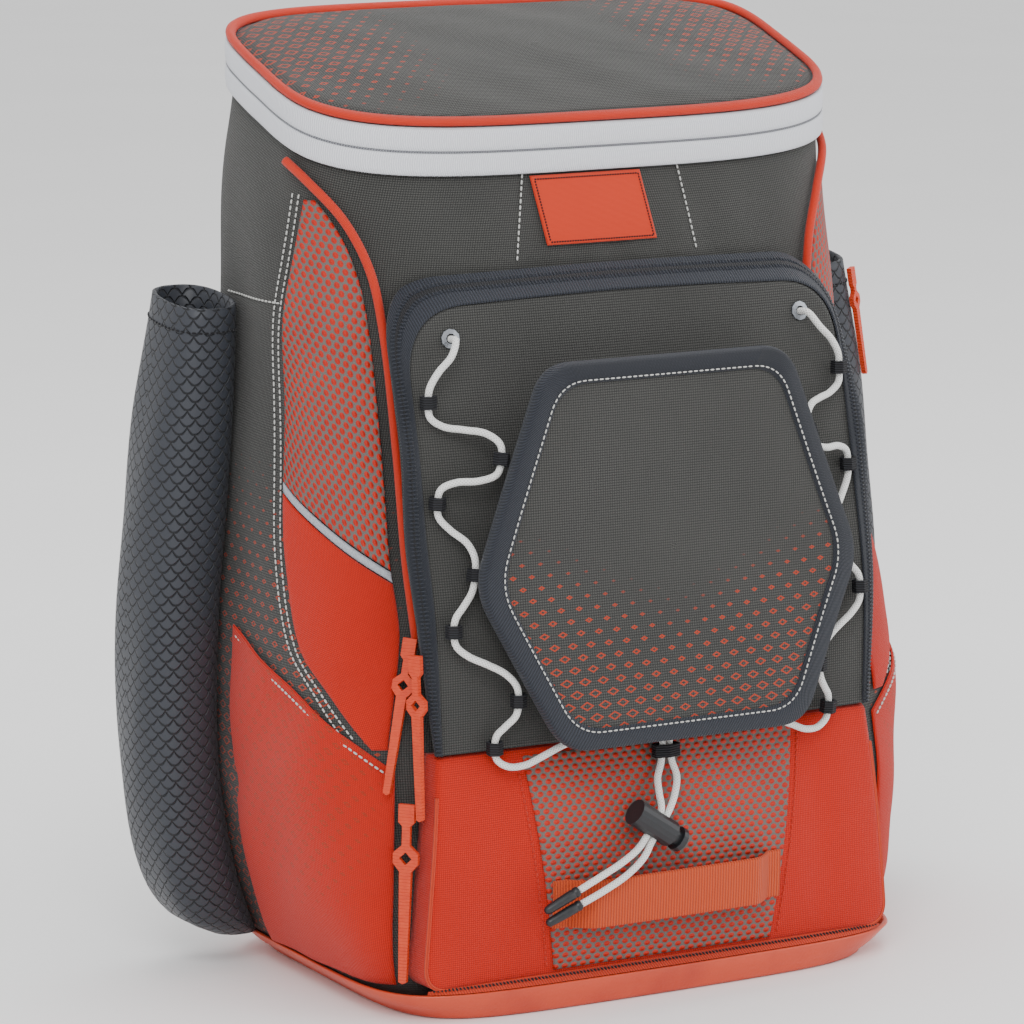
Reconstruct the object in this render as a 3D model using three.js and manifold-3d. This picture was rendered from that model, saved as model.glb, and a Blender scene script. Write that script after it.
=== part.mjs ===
// Baseball bat backpack, standing upright and filled. Millimetres, +Z up, the wearer's back towards +Y.
// Every form is worked out from the named sizes below. Cloth is a wall; what is sewn on lies just clear of it.
import * as THREE from "three";
import { mergeVertices } from "three/addons/utils/BufferGeometryUtils.js";
import Module from "manifold-3d";

const wasm = await Module();
wasm.setup();

// Driving sizes of the body
const bodyHeight = 433;        // ground to the rim, on the mid-depth line
const bodySide = 164;          // half of the width at the waist
const bodyFront = 103;         // reach of the front panel ahead of the mid-depth line
const bodyBack = 88;           // reach of the back panel behind it
const spineY = 20;             // depth at which each section is widest
const shellWall = 2.4;
const lidSlope = 0.34;         // rise of the lid per length of depth
const sewnGap = 0.4;           // clearance of a sewn-on piece over what it is sewn to
const clothGap = 0.9;          // the same over the body's rounded cloth
const skinGap = 1.35;          // the same for the wide side panels, whose facets are coarser

// Sections of the body from the ground to the rim, as shares of the sizes above.
// nose and tail are the squareness of the front and back corners, tilt the share of the lid's slope.
const bodySections = [
  { rise: 0.009, side: 0.855, front: 1.000, back: 0.900, nose: 6.0, tail: 5.0, tilt: 0.0 },
  { rise: 0.035, side: 0.930, front: 1.010, back: 0.950, nose: 6.5, tail: 5.0, tilt: 0.0 },
  { rise: 0.085, side: 0.990, front: 1.000, back: 0.970, nose: 7.0, tail: 5.0, tilt: 0.0 },
  { rise: 0.155, side: 1.040, front: 1.000, back: 0.980, nose: 5.6, tail: 5.0, tilt: 0.0 },
  { rise: 0.250, side: 1.075, front: 1.000, back: 0.985, nose: 4.8, tail: 5.0, tilt: 0.0 },
  { rise: 0.346, side: 1.080, front: 0.975, back: 0.995, nose: 4.5, tail: 5.0, tilt: 0.0 },
  { rise: 0.462, side: 1.065, front: 0.870, back: 1.000, nose: 4.2, tail: 5.0, tilt: 0.0 },
  { rise: 0.577, side: 1.035, front: 0.755, back: 1.000, nose: 3.7, tail: 5.0, tilt: 0.05 },
  { rise: 0.693, side: 1.010, front: 0.680, back: 1.000, nose: 3.2, tail: 5.0, tilt: 0.2 },
  { rise: 0.820, side: 0.994, front: 0.620, back: 1.000, nose: 2.8, tail: 5.0, tilt: 0.5 },
  { rise: 0.905, side: 0.976, front: 0.560, back: 1.000, nose: 2.9, tail: 5.0, tilt: 0.8 },
  { rise: 1.000, side: 0.942, front: 0.480, back: 0.990, nose: 3.6, tail: 5.0, tilt: 1.0 },
];

// Directions round the spine, in degrees from straight ahead; close together where the corners turn.
const quarterTurns = [0, 20, 36, 46, 53, 60, 67, 77];
const turns = [0, 90, 180, 270].flatMap((start, q) =>
  (q % 2 === 0 ? quarterTurns : [90, ...quarterTurns.slice(1).reverse()].map((a) => 90 - a))
    .map((a) => start + a));

function column(table, key, at) {
  // Smooth reading of one column of a table at a given rise.
  const last = table.length - 1;
  let i = 0;
  while (i < last - 1 && table[i + 1].rise < at) i += 1;
  const p0 = table[Math.max(i - 1, 0)];
  const p1 = table[i];
  const p2 = table[i + 1];
  const p3 = table[Math.min(i + 2, last)];
  const span = p2.rise - p1.rise;
  const t = Math.min(Math.max((at - p1.rise) / span, 0), 1);
  const m1 = p1 === p0 ? p2[key] - p1[key] : (p2[key] - p0[key]) / (p2.rise - p0.rise) * span;
  const m2 = p3 === p2 ? p2[key] - p1[key] : (p3[key] - p1[key]) / (p3.rise - p1.rise) * span;
  const a = 2 * p1[key] - 2 * p2[key] + m1 + m2;
  const b = 3 * p2[key] - 3 * p1[key] - 2 * m1 - m2;
  return ((a * t + b) * t + m1) * t + p1[key];
}

function bodyPoint(rise, turn, inset = 0) {
  // A point of the body's surface: the superellipse of its section, met in the direction of the turn.
  const angle = THREE.MathUtils.degToRad(turn);
  const ahead = Math.cos(angle);
  const across = Math.sin(angle);
  const side = bodySide * column(bodySections, "side", rise) - inset;
  const front = bodyFront * column(bodySections, "front", rise) + spineY - inset;
  const back = bodyBack * column(bodySections, "back", rise) - spineY - inset;
  const reach = ahead > 0 ? front : back;
  const square = column(bodySections, ahead > 0 ? "nose" : "tail", rise);
  const sum = (Math.abs(ahead) / reach) ** square + (Math.abs(across) / side) ** square;
  const r = sum ** (-1 / square);
  const x = r * across;
  const y = spineY - r * ahead;
  return new THREE.Vector3(x, y, bodyHeight * rise + lidSlope * column(bodySections, "tilt", rise) * y);
}

function loft(rings, ends = "caps") {
  // Closed surface through rings of equal count: capped by fans at both ends, or joined round into a loop.
  const count = rings[0].length;
  const points = rings.flat();
  const faces = [];
  const spans = ends === "loop" ? rings.length : rings.length - 1;
  for (let i = 0; i < spans; i += 1) {
    const a = i * count;
    const b = ((i + 1) % rings.length) * count;
    for (let j = 0; j < count; j += 1) {
      const k = (j + 1) % count;
      faces.push([a + j, a + k, b + k], [a + j, b + k, b + j]);
    }
  }
  if (ends === "caps") {
    [[rings[0], 0, true], [rings.at(-1), (rings.length - 1) * count, false]].forEach(([ring, start, first]) => {
      const middle = ring.reduce((sum, p) => sum.add(p), new THREE.Vector3()).divideScalar(count);
      const centre = points.push(middle) - 1;
      for (let j = 0; j < count; j += 1) {
        const k = start + (j + 1) % count;
        faces.push(first ? [centre, k, start + j] : [centre, start + j, k]);
      }
    });
  }
  return indexed(points, faces);
}

function indexed(points, faces) {
  // A mesh from points and faces, with the faces turned round if they enclose a negative volume.
  const geometry = new THREE.BufferGeometry();
  geometry.setAttribute("position", new THREE.Float32BufferAttribute(points.flatMap((p) => p.toArray()), 3));
  geometry.setIndex(faces.flat());
  const at = geometry.getAttribute("position");
  const index = geometry.getIndex().array;
  const [a, b, c] = [0, 1, 2].map(() => new THREE.Vector3());
  let volume = 0;
  for (let i = 0; i < index.length; i += 3) {
    a.fromBufferAttribute(at, index[i]);
    b.fromBufferAttribute(at, index[i + 1]);
    c.fromBufferAttribute(at, index[i + 2]);
    volume += a.dot(b.cross(c));
  }
  for (let i = 0; volume < 0 && i < index.length; i += 3) {
    [index[i + 1], index[i + 2]] = [index[i + 2], index[i + 1]];
  }
  geometry.computeVertexNormals();
  return geometry;
}

function solve(low, high, wanted, reading) {
  // Bisection for the value at which a rising or falling reading meets what is wanted.
  const rising = reading(high) > reading(low);
  for (let i = 0; i < 26; i += 1) {
    const middle = (low + high) / 2;
    if (reading(middle) < wanted === rising) low = middle;
    else high = middle;
  }
  return (low + high) / 2;
}

const lowest = bodySections[0].rise;

function bodyAt(turn, z, out = 0) {
  // The point of the body's surface at a height in a direction, moved out along the surface's normal.
  const rise = solve(lowest, 1, z, (r) => bodyPoint(r, turn).z);
  const point = bodyPoint(rise, turn);
  if (out === 0) return point;
  const round = bodyPoint(rise, turn + 1).sub(bodyPoint(rise, turn - 1));
  const up = bodyPoint(Math.min(rise + 0.01, 1), turn).sub(bodyPoint(Math.max(rise - 0.01, lowest), turn));
  return point.addScaledVector(round.cross(up).normalize(), out);
}

function frontAt(x, z) {
  // Depth of the body's front at a place across it and a height.
  const turn = solve(0, 88, Math.abs(x), (t) => bodyAt(t, z).x);
  return bodyAt(turn, z).y;
}

function skin(place, columns, rows, thickness) {
  // A thin closed sheet: place(s, t, out) gives its points, out being the distance off what it covers.
  const across = columns + 1;
  const grid = (out) => Array.from({ length: across * (rows + 1) }, (_, n) =>
    place((n % across) / columns, Math.floor(n / across) / rows, out));
  const points = [...grid(0), ...grid(thickness)];
  const half = points.length / 2;
  const faces = [];
  const quad = (p, q, r, s) => faces.push([p, q, r], [p, r, s]);
  for (let j = 0; j < rows; j += 1) {
    for (let i = 0; i < columns; i += 1) {
      const p = j * across + i;
      quad(p, p + across, p + across + 1, p + 1);
      quad(half + p, half + p + 1, half + p + across + 1, half + p + across);
    }
    const [left, right] = [j * across, j * across + columns];
    quad(left, half + left, half + left + across, left + across);
    quad(right + across, half + right + across, half + right, right);
  }
  for (let i = 0; i < columns; i += 1) {
    const [foot, head] = [i, rows * across + i];
    quad(foot + 1, half + foot + 1, half + foot, foot);
    quad(head, half + head, half + head + 1, head + 1);
  }
  return indexed(points, faces);
}

function tube(points, radius, sides) {
  // A round cord with a ring square to its course at each of the points.
  const last = points.length - 1;
  const across = new THREE.Vector3(0, 0, 1);
  const rings = points.map((point, i) => {
    const run = points[Math.min(i + 1, last)].clone().sub(points[Math.max(i - 1, 0)]).normalize();
    across.addScaledVector(run, -across.dot(run)).normalize();
    const other = run.clone().cross(across);
    return Array.from({ length: sides }, (_, k) => {
      const angle = (k / sides) * 2 * Math.PI;
      return point.clone().addScaledVector(across, radius * Math.cos(angle))
        .addScaledVector(other, radius * Math.sin(angle));
    });
  });
  return loft(rings);
}

function smooth(points, steps) {
  // Evenly spaced points along a smooth curve through the points given.
  return new THREE.CatmullRomCurve3(points, false, "centripetal").getSpacedPoints(steps);
}

function solid(geometry) {
  // A mesh as a manifold solid, for cuts.
  const plain = geometry.clone();
  plain.deleteAttribute("normal");
  plain.deleteAttribute("uv");
  const merged = mergeVertices(plain, 1e-4);
  return new wasm.Manifold(new wasm.Mesh({
    numProp: 3,
    vertProperties: new Float32Array(merged.getAttribute("position").array),
    triVerts: new Uint32Array(merged.getIndex().array),
  }));
}

function shape(manifold) {
  // A manifold solid back as a mesh.
  const mesh = manifold.getMesh();
  const geometry = new THREE.BufferGeometry();
  geometry.setAttribute("position", new THREE.BufferAttribute(mesh.vertProperties, 3));
  geometry.setIndex(new THREE.BufferAttribute(mesh.triVerts, 1));
  geometry.computeVertexNormals();
  return geometry;
}

const pack = new THREE.Group();

function add(name, geometry, colour, roughness = 0.8, metalness = 0) {
  const material = new THREE.MeshStandardMaterial({ color: colour, roughness, metalness });
  const mesh = new THREE.Mesh(geometry, material);
  mesh.name = name;
  pack.add(mesh);
  return mesh;
}

const charcoal = 0x5a5a58;
const navy = 0x3a404c;
const slate = 0x3c3f46;
const orange = 0xd23e22;
const coated = 0xcd5537;
const webbing = 0xd76432;
const white = 0xe8e8f0;
const black = 0x232528;
const silver = 0x8c9196;
const meshColour = 0x8a5a4a;

// Body: a hollow cloth shell, open at the rim, standing in a shallow coated base.
const bodyRises = bodySections.flatMap((row, i) =>
  i < 3 || i > 8 ? [row.rise] : [row.rise, (row.rise + bodySections[i + 1].rise) / 2]);
const bodyRings = bodyRises.map((rise) => turns.map((turn) => bodyPoint(rise, turn)));
const liningRings = bodySections.filter((row, i) => i % 2 === 1)
  .map((row) => turns.map((turn) => bodyPoint(row.rise, turn, shellWall)));
add("body_shell", loft([...bodyRings, ...liningRings.reverse()]), charcoal);

// Base: a coated tray round the foot of the body, reaching forward under the lower pocket.
const baseWall = 2.6;
const baseRise = 15;
const baseFront = 18;          // how far it reaches ahead of the body
const foot = bodyHeight * lowest;
function trayRing(rise, out, z) {
  return turns.map((turn) => {
    const point = bodyPoint(rise, turn, -out);
    const ahead = Math.max(Math.cos(THREE.MathUtils.degToRad(turn)), 0) ** 0.35;
    return point.setY(point.y - baseFront * ahead).setZ(z);
  });
}
const trayTop = baseRise / bodyHeight;
add("base_panel", loft([
  trayRing(lowest, -3, 0),
  trayRing(lowest, 1, foot * 0.6),
  trayRing(trayTop, clothGap + baseWall, baseRise),
  trayRing(trayTop, clothGap, baseRise),
  trayRing(lowest, clothGap, foot - sewnGap),
]), coated, 0.45);

// Lid: a zipped band in two halves round the rim, a padded panel over it and a piping round the panel.
const bandWall = 2.4;
const bandOut = clothGap;
const bandHeight = 24;
const zipShare = 0.5;
const zipSlit = 0.6;
const lidCrown = 6;
const lidThick = 3;
const pipingRadius = 2.3;
const bandMiddle = bandOut + bandWall;

function rimRing(out, lift) {
  return turns.map((turn) => {
    const point = bodyPoint(1, turn, -out);
    return point.setZ(point.z + lift);
  });
}

function band(low, high) {
  return loft([
    rimRing(bandOut, low), rimRing(bandMiddle, low), rimRing(bandMiddle, high), rimRing(bandOut, high),
  ], "loop");
}

const zipHeight = bandHeight * zipShare;
add("rim_band", band(0, zipHeight - zipSlit / 2), white, 0.55);
add("lid_band", band(zipHeight + zipSlit / 2, bandHeight), white, 0.55);

const pipingLift = bandHeight + pipingRadius + sewnGap;
const lidEdge = bandMiddle - 2 * pipingRadius - sewnGap;
const lidRows = [
  { reach: 1.0, height: 0.0 }, { reach: 0.8, height: 0.42 }, { reach: 0.5, height: 0.82 },
  { reach: 0.2, height: 0.98 },
];
const lidMiddle = (bodyPoint(1, 0).y + bodyPoint(1, 180).y) / 2;
const lidRing = (row, lift) => rimRing(lidEdge, 0).map((point) => {
  const y = lidMiddle + (point.y - lidMiddle) * row.reach;
  const z = bodyHeight + lidSlope * y + bandHeight + sewnGap + lift + lidCrown * row.height;
  return new THREE.Vector3(point.x * row.reach, y, z);
});
add("lid_panel", loft([
  ...lidRows.map((row) => lidRing(row, lidThick)).reverse(), lidRing(lidRows[0], 0), lidRing(lidRows[2], 0),
]), charcoal);
const pipingSides = 6;
const pipingSteps = 14;
const pipingProfile = Array.from({ length: pipingSides }, (_, i) => (i / pipingSides) * 2 * Math.PI);
const pipingOut = bandMiddle - pipingRadius;
add("lid_piping", loft(pipingProfile.map((angle) =>
  rimRing(pipingOut + pipingRadius * Math.cos(angle), pipingLift + pipingRadius * Math.sin(angle))),
"loop"), orange, 0.6);

// Side trims: directions round the spine of the piping and of the rear seam, by height.
const pipingLine = [
  { rise: 0.292, turn: 50.5 }, { rise: 0.439, turn: 50.1 },
  { rise: 0.528, turn: 53.2 }, { rise: 0.652, turn: 56.9 },
  { rise: 0.788, turn: 61.1 }, { rise: 0.856, turn: 64.2 },
  { rise: 0.913, turn: 68.6 }, { rise: 0.958, turn: 75.2 },
  { rise: 0.978, turn: 80.0 },
];
const rearSeam = [
  { rise: 0.3, turn: 53.0 }, { rise: 0.373, turn: 61.3 },
  { rise: 0.424, turn: 67.8 }, { rise: 0.521, turn: 73.2 },
  { rise: 0.612, turn: 75.4 }, { rise: 0.703, turn: 77.3 },
  { rise: 0.795, turn: 78.4 }, { rise: 0.865, turn: 77.4 },
  { rise: 0.95, turn: 75.6 },
];
// Top edge of the lower side panel: its rise by the share of the way back from its front edge.
const lowerEdge = [
  { rise: 0, top: 0.292 }, { rise: 0.2, top: 0.332 }, { rise: 0.5, top: 0.380 }, { rise: 1, top: 0.428 },
];
const pipingClear = 2.2;       // degrees that the skins keep from the piping
const skinThick = 1.2;
const stripeHeight = 5;
const stripeFront = 218;
const stripeRear = 259;
const wedgeTop = 405;
const panelFoot = 137;
const lowerFoot = 17;
const lowerFront = 51.5;
const lowerRear = 88.5;
const seamGap = 0.6;

const frontTurn = (z) => column(pipingLine, "turn", z / bodyHeight) + pipingClear;
const rearTurn = (z) => column(rearSeam, "turn", z / bodyHeight);
const between = THREE.MathUtils.lerp;

for (const [hand, side] of [[1, "right"], [-1, "left"]]) {
  const onBody = (turn, z, out) => {
    const point = bodyAt(turn, z, skinGap + out);
    return point.setX(point.x * hand);
  };
  const wedge = (low, high) => (s, t, out) => {
    const z = between(low(s), high(s), t);
    return onBody(between(frontTurn(z), Math.max(rearTurn(z), frontTurn(z) + 0.5), s), z, out);
  };
  const stripeLow = (s) => between(stripeFront, stripeRear, s);
  const stripeHigh = (s) => stripeLow(s) + stripeHeight;
  const overStripe = wedge((s) => stripeHigh(s) + seamGap, () => wedgeTop);
  const underStripe = wedge(() => panelFoot, (s) => stripeLow(s) - seamGap);
  add(`mesh_wedge_${side}`, skin(overStripe, 3, 9, skinThick), meshColour);
  add(`side_stripe_${side}`, skin(wedge(stripeLow, stripeHigh), 5, 1, skinThick), silver, 0.4);
  add(`side_panel_${side}`, skin(underStripe, 4, 6, skinThick), orange);
  add(`lower_side_${side}`, skin((s, t, out) => {
    const turn = between(lowerFront, lowerRear, s);
    const z = between(lowerFoot, bodyHeight * column(lowerEdge, "top", s), t);
    return onBody(turn, z, out);
  }, 6, 9, skinThick), orange);
  const pipingRoute = pipingLine.slice(1).map((row) =>
    onBody(row.turn, row.rise * bodyHeight, pipingRadius));
  add(`side_piping_${side}`, tube(smooth(pipingRoute, pipingSteps), pipingRadius, pipingSides), orange, 0.6);
}

// Label patch on the front panel, plain, with the lean that the panel gives it.
const patchWidth = 64;
const patchHeight = 35;
const patchFoot = 379;
const patchLeft = -35;
const patchLean = 6.5;
const frontSpot = (x, z, out) => new THREE.Vector3(x, frontAt(x, z) - clothGap - out, z);
const patchSpot = (s, t, out) =>
  frontSpot(patchLeft + patchWidth * s - patchLean * t, patchFoot + patchHeight * t, out);
add("label_patch", skin(patchSpot, 4, 3, skinThick), orange);

// Front pocket: an arched box standing off the front panel and open towards it. Its wall leans out to the
// outer edge of the zip tape, the tape slopes in to the face, and the face swells.
const pocketFoot = 136;
const pocketTop = 369;
const pocketRadius = 34;
const pocketCrown = 2;
const pocketWall = 2.2;
const pocketBulge = 8;
const seatHalf = 119;          // half of its width where it meets the front panel
const tapeHalf = 127;          // the same at the outer edge of the tape
const tapeSwell = 8.5;
const faceHalf = 123;          // the same at the edge of the face
const faceSwell = 2;
const topSlope = 13;
const tapeThick = 1.4;
// Depth of the tape's outer edge and of the face's edge by height, as shares of the reach of the body's front.
const tapeDepths = [
  { rise: 0.0, reach: 1.05 }, { rise: 0.27, reach: 0.99 },
  { rise: 0.44, reach: 0.91 }, { rise: 0.62, reach: 0.86 },
  { rise: 0.72, reach: 0.78 }, { rise: 0.82, reach: 0.68 },
  { rise: 0.91, reach: 0.58 }, { rise: 1.0, reach: 0.45 },
];
const faceDepths = [
  { rise: 0.0, reach: 1.065 }, { rise: 0.27, reach: 1.035 },
  { rise: 0.5, reach: 0.925 }, { rise: 0.6, reach: 0.88 },
  { rise: 0.7, reach: 0.83 }, { rise: 0.79, reach: 0.78 },
  { rise: 0.94, reach: 0.72 }, { rise: 1.0, reach: 0.70 },
];
const pocketShare = (z) => THREE.MathUtils.clamp((z - pocketFoot) / (pocketTop - pocketFoot), 0, 1);

function archOutline(half, swell, top, steps) {
  // Closed outline as x and z: from the left foot up, round the arch, down to the right foot and back.
  const path = new THREE.Path();
  const shoulder = top - pocketCrown;
  path.moveTo(-half, pocketFoot);
  path.lineTo(-half, shoulder - pocketRadius);
  path.quadraticCurveTo(-half, shoulder, pocketRadius - half, shoulder);
  path.quadraticCurveTo(0, top + pocketCrown, half - pocketRadius, shoulder);
  path.quadraticCurveTo(half, shoulder, half, shoulder - pocketRadius);
  path.lineTo(half, pocketFoot);
  const arch = path.getSpacedPoints(steps).map((p) =>
    new THREE.Vector2(p.x + Math.sign(p.x) * swell * Math.sin(Math.PI * pocketShare(p.y)), p.y));
  const foot = Array.from({ length: footSteps - 1 }, (_, i) =>
    new THREE.Vector2(half - (2 * half * (i + 1)) / footSteps, pocketFoot));
  return [...arch, ...foot];
}

function faceDepth(x, z) {
  // Depth of the face: its edge by height, with the swell of a filled pocket.
  const across = Math.max(1 - (x / faceHalf) ** 2, 0);
  const swell = across * Math.sin(Math.PI * (0.12 + 0.76 * pocketShare(z)));
  return -bodyFront * column(faceDepths, "reach", pocketShare(z)) - pocketBulge * swell;
}

function tapeDepth(x, z) {
  // Depth of the tape's outer edge, which rests on the front panel over the arch.
  const leaning = -bodyFront * column(tapeDepths, "reach", pocketShare(z));
  return Math.min(leaning, frontAt(x, z) - seatGap - pocketWall);
}

const archSteps = 32;
const footSteps = 8;
const seatGap = 0.9;
const seatOutline = archOutline(seatHalf, 0, pocketTop - 1, archSteps);
const tapeOutline = archOutline(tapeHalf, tapeSwell, pocketTop, archSteps);
const faceOutline = archOutline(faceHalf, faceSwell, pocketTop - topSlope, archSteps);
const pocketCentre = new THREE.Vector2(0, (pocketFoot + pocketTop - topSlope) / 2);

function pocketRing(outline, reach, inset, depth) {
  // A ring of the pocket: an outline drawn in towards the pocket's centre, at a depth.
  return outline.map((p) => {
    const q = p.clone().sub(pocketCentre);
    const drawn = q.multiplyScalar(reach - inset / q.length()).add(pocketCentre);
    return new THREE.Vector3(drawn.x, depth(drawn.x, drawn.y), drawn.y);
  });
}

const seatDepth = (x, z) => frontAt(x, z) - seatGap;
const innerDepth = (x, z) => faceDepth(x, z) + pocketWall;
const tapeRing = pocketRing(tapeOutline, 1, 0, tapeDepth);
const edgeRing = pocketRing(faceOutline, 1, 0, faceDepth);
add("front_pocket", loft([
  pocketRing(faceOutline, 0.4, 0, faceDepth), pocketRing(faceOutline, 0.78, 0, faceDepth), edgeRing, tapeRing,
  pocketRing(seatOutline, 1, 0, seatDepth), pocketRing(seatOutline, 1, pocketWall, seatDepth),
  pocketRing(faceOutline, 1, pocketWall * 1.8, innerDepth), pocketRing(faceOutline, 0.6, 0, innerDepth),
]), charcoal);

// The zip tape runs from foot to foot over the arch, on the slope round the face.
function tapePoint(s, t, out) {
  const i = archSteps - Math.round(s * archSteps);
  const [outer, inner] = [tapeRing[i], edgeRing[i]];
  const before = tapeRing[Math.max(i - 1, 0)];
  const after = tapeRing[Math.min(i + 1, archSteps)];
  const normal = inner.clone().sub(outer).cross(after.clone().sub(before)).normalize();
  return outer.clone().lerp(inner, between(0.03, 0.97, t)).addScaledVector(normal, clothGap + out);
}
add("pocket_zip", skin(tapePoint, archSteps, 1, tapeThick), navy, 0.6);

function depthOn(name, x, z) {
  // Depth of the foremost face of a piece at a place across and a height.
  const ray = new THREE.Raycaster(new THREE.Vector3(x, -3 * bodyFront, z), new THREE.Vector3(0, 1, 0));
  const piece = pack.getObjectByName(name);
  piece.material.side = THREE.DoubleSide;
  return ray.intersectObject(piece)[0].point.y;
}

// Lower pocket: a shallow box under the front pocket, on the foot of the body.
const lowerTopHalf = 127;
const lowerFootHalf = 138;
const lowerPocketFoot = baseRise + 1;
const lowerPocketTop = pocketFoot - 0.8;
const lowerProud = 13;
const lowerBulge = 5;
const lowerCorner = 14;

function lowerOutline(inset) {
  // Closed outline, clockwise from the top left: straight sides splaying to round lower corners.
  const share = (z) => (z - lowerPocketFoot) / (lowerPocketTop - lowerPocketFoot);
  const splay = (z) => between(lowerFootHalf, lowerTopHalf, share(z));
  const path = new THREE.Path();
  const [low, high] = [lowerPocketFoot + inset, lowerPocketTop - inset];
  path.moveTo(0, high);
  path.lineTo(splay(high) - inset, high);
  path.lineTo(splay(low + lowerCorner) - inset, low + lowerCorner);
  path.quadraticCurveTo(lowerFootHalf - inset, low, lowerFootHalf - inset - lowerCorner, low);
  path.lineTo(-(lowerFootHalf - inset - lowerCorner), low);
  path.quadraticCurveTo(-(lowerFootHalf - inset), low, -(splay(low + lowerCorner) - inset), low + lowerCorner);
  path.lineTo(-(splay(high) - inset), high);
  path.lineTo(0, high);
  return path.getSpacedPoints(34).slice(0, -1);
}

function lowerDepth(x, z) {
  const share = (z - lowerPocketFoot) / (lowerPocketTop - lowerPocketFoot);
  const swell = (1 - (x / lowerFootHalf) ** 2) * Math.sin(Math.PI * THREE.MathUtils.clamp(share, 0, 1));
  return -bodyFront - between(lowerProud, pocketDepthAtFoot, share ** 3) - lowerBulge * swell;
}

const pocketDepthAtFoot = -faceDepth(faceHalf, pocketFoot) - bodyFront;
const lowerRing = (inset, place) =>
  lowerOutline(inset).map((p) => new THREE.Vector3(p.x, place(p.x, p.y), p.y));
const lowerFace = (back) => (x, z) => lowerDepth(x, z) + back;
const lowerSeat = (x, z) => frontAt(Math.min(Math.abs(x), 140), z) - seatGap;
add("lower_pocket", loft([
  lowerRing(40, lowerFace(0)), lowerRing(18, lowerFace(0)),
  lowerRing(4, lowerFace(0)), lowerRing(0.5, lowerFace(3)),
  lowerRing(0, lowerSeat), lowerRing(pocketWall, lowerSeat),
  lowerRing(4 + pocketWall, lowerFace(pocketWall)), lowerRing(30, lowerFace(pocketWall)),
]), orange);

// Mesh panel in the middle of the lower pocket, and a webbing loop across it.
const meshTopHalf = 79;
const meshFootHalf = 64;
const meshMargin = 4;
const meshThick = 1.2;
const meshSpot = (s, t, out) => {
  const z = between(lowerPocketFoot + meshMargin, lowerPocketTop - meshMargin, t);
  const x = between(-1, 1, s) * between(meshFootHalf, meshTopHalf, t);
  return new THREE.Vector3(x, lowerDepth(x, z) - sewnGap - out, z);
};
add("mesh_panel", skin(meshSpot, 6, 5, meshThick), meshColour);

const webWidth = 25;
const webThick = 1.8;
const webHalf = 67;
const webHeight = 55;
const webStand = 9;
add("web_loop", skin((s, t, out) => {
  const x = between(-webHalf, webHalf, s);
  const z = webHeight + webWidth * (t - 0.5);
  const sewn = Math.min(1, Math.max(0, (1 - Math.abs(2 * s - 1)) * 5 - 0.6));
  const stand = webStand * Math.sin((Math.PI / 2) * sewn);
  return new THREE.Vector3(x, lowerDepth(x, z) - meshThick - 2 * sewnGap - stand - out, z);
}, 16, 1, webThick), webbing, 0.65);

// Flap: a six-sided padded panel standing off the front pocket, its edge bound with a folded tape.
const flapTopHalf = 70;
const flapWideHalf = 111;
const flapFootHalf = 70;
const flapTop = 329;
const flapWide = 220;
const flapFoot = 137;
const flapCorner = 15;
const flapThick = 9;
const bindWidth = 11.5;
const bindWall = 1.2;
// Depth of the flap's front by height, as shares of the reach of the body's front.
const flapFace = [{ rise: 0, reach: 1.37 }, { rise: 0.43, reach: 1.225 }, { rise: 1, reach: 1.175 }];

const flapCorners = [
  [flapTopHalf, flapTop], [flapWideHalf, flapWide], [flapFootHalf, flapFoot],
  [-flapFootHalf, flapFoot], [-flapWideHalf, flapWide], [-flapTopHalf, flapTop],
].map(([x, z]) => new THREE.Vector2(x, z));
const flapCentre = new THREE.Vector2(0, (flapTop + flapFoot) / 2);

function flapOutline(inset) {
  // The six corners drawn in and rounded.
  const corners = flapCorners.map((p) => {
    const q = p.clone().sub(flapCentre);
    return q.multiplyScalar(1 - inset / (q.length() * 0.87)).add(flapCentre);
  });
  return corners.flatMap((corner, i) => {
    const before = corners[(i + 5) % 6];
    const after = corners[(i + 1) % 6];
    const start = corner.clone().add(before.clone().sub(corner).setLength(flapCorner));
    const end = corner.clone().add(after.clone().sub(corner).setLength(flapCorner));
    return new THREE.QuadraticBezierCurve(start, corner, end).getPoints(2);
  });
}

function flapDepth(z) {
  const share = (z - flapFoot) / (flapTop - flapFoot);
  return -bodyFront * column(flapFace, "reach", THREE.MathUtils.clamp(share, 0, 1));
}

const flapRing = (inset, back) =>
  flapOutline(inset).map((p) => new THREE.Vector3(p.x, flapDepth(p.y) + back, p.y));
const bindEdge = bindWall + sewnGap;
add("hex_flap", loft([
  flapRing(50, bindEdge - 1), flapRing(bindWidth + 3, bindEdge - 1), flapRing(bindWidth, bindEdge),
  flapRing(bindEdge, bindEdge), flapRing(bindEdge, flapThick - bindEdge), flapRing(50, flapThick - bindEdge),
]), charcoal);
add("hex_binding", loft([
  flapRing(0, 0), flapRing(bindWidth, 0), flapRing(bindWidth, bindWall), flapRing(bindWall, bindWall),
  flapRing(bindWall, flapThick - bindWall), flapRing(bindWidth, flapThick - bindWall),
  flapRing(bindWidth, flapThick), flapRing(0, flapThick),
], "loop"), navy, 0.6);

// Lacing: loops of black webbing on the pocket's edges and behind the flap's, and a white elastic cord
// through them.
const cordRadius = 1.8;
const loopBore = 3;
const loopWall = 1.3;
const loopLength = 6.5;
const loopOuter = loopBore + loopWall;
const loopSides = 6;

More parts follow.
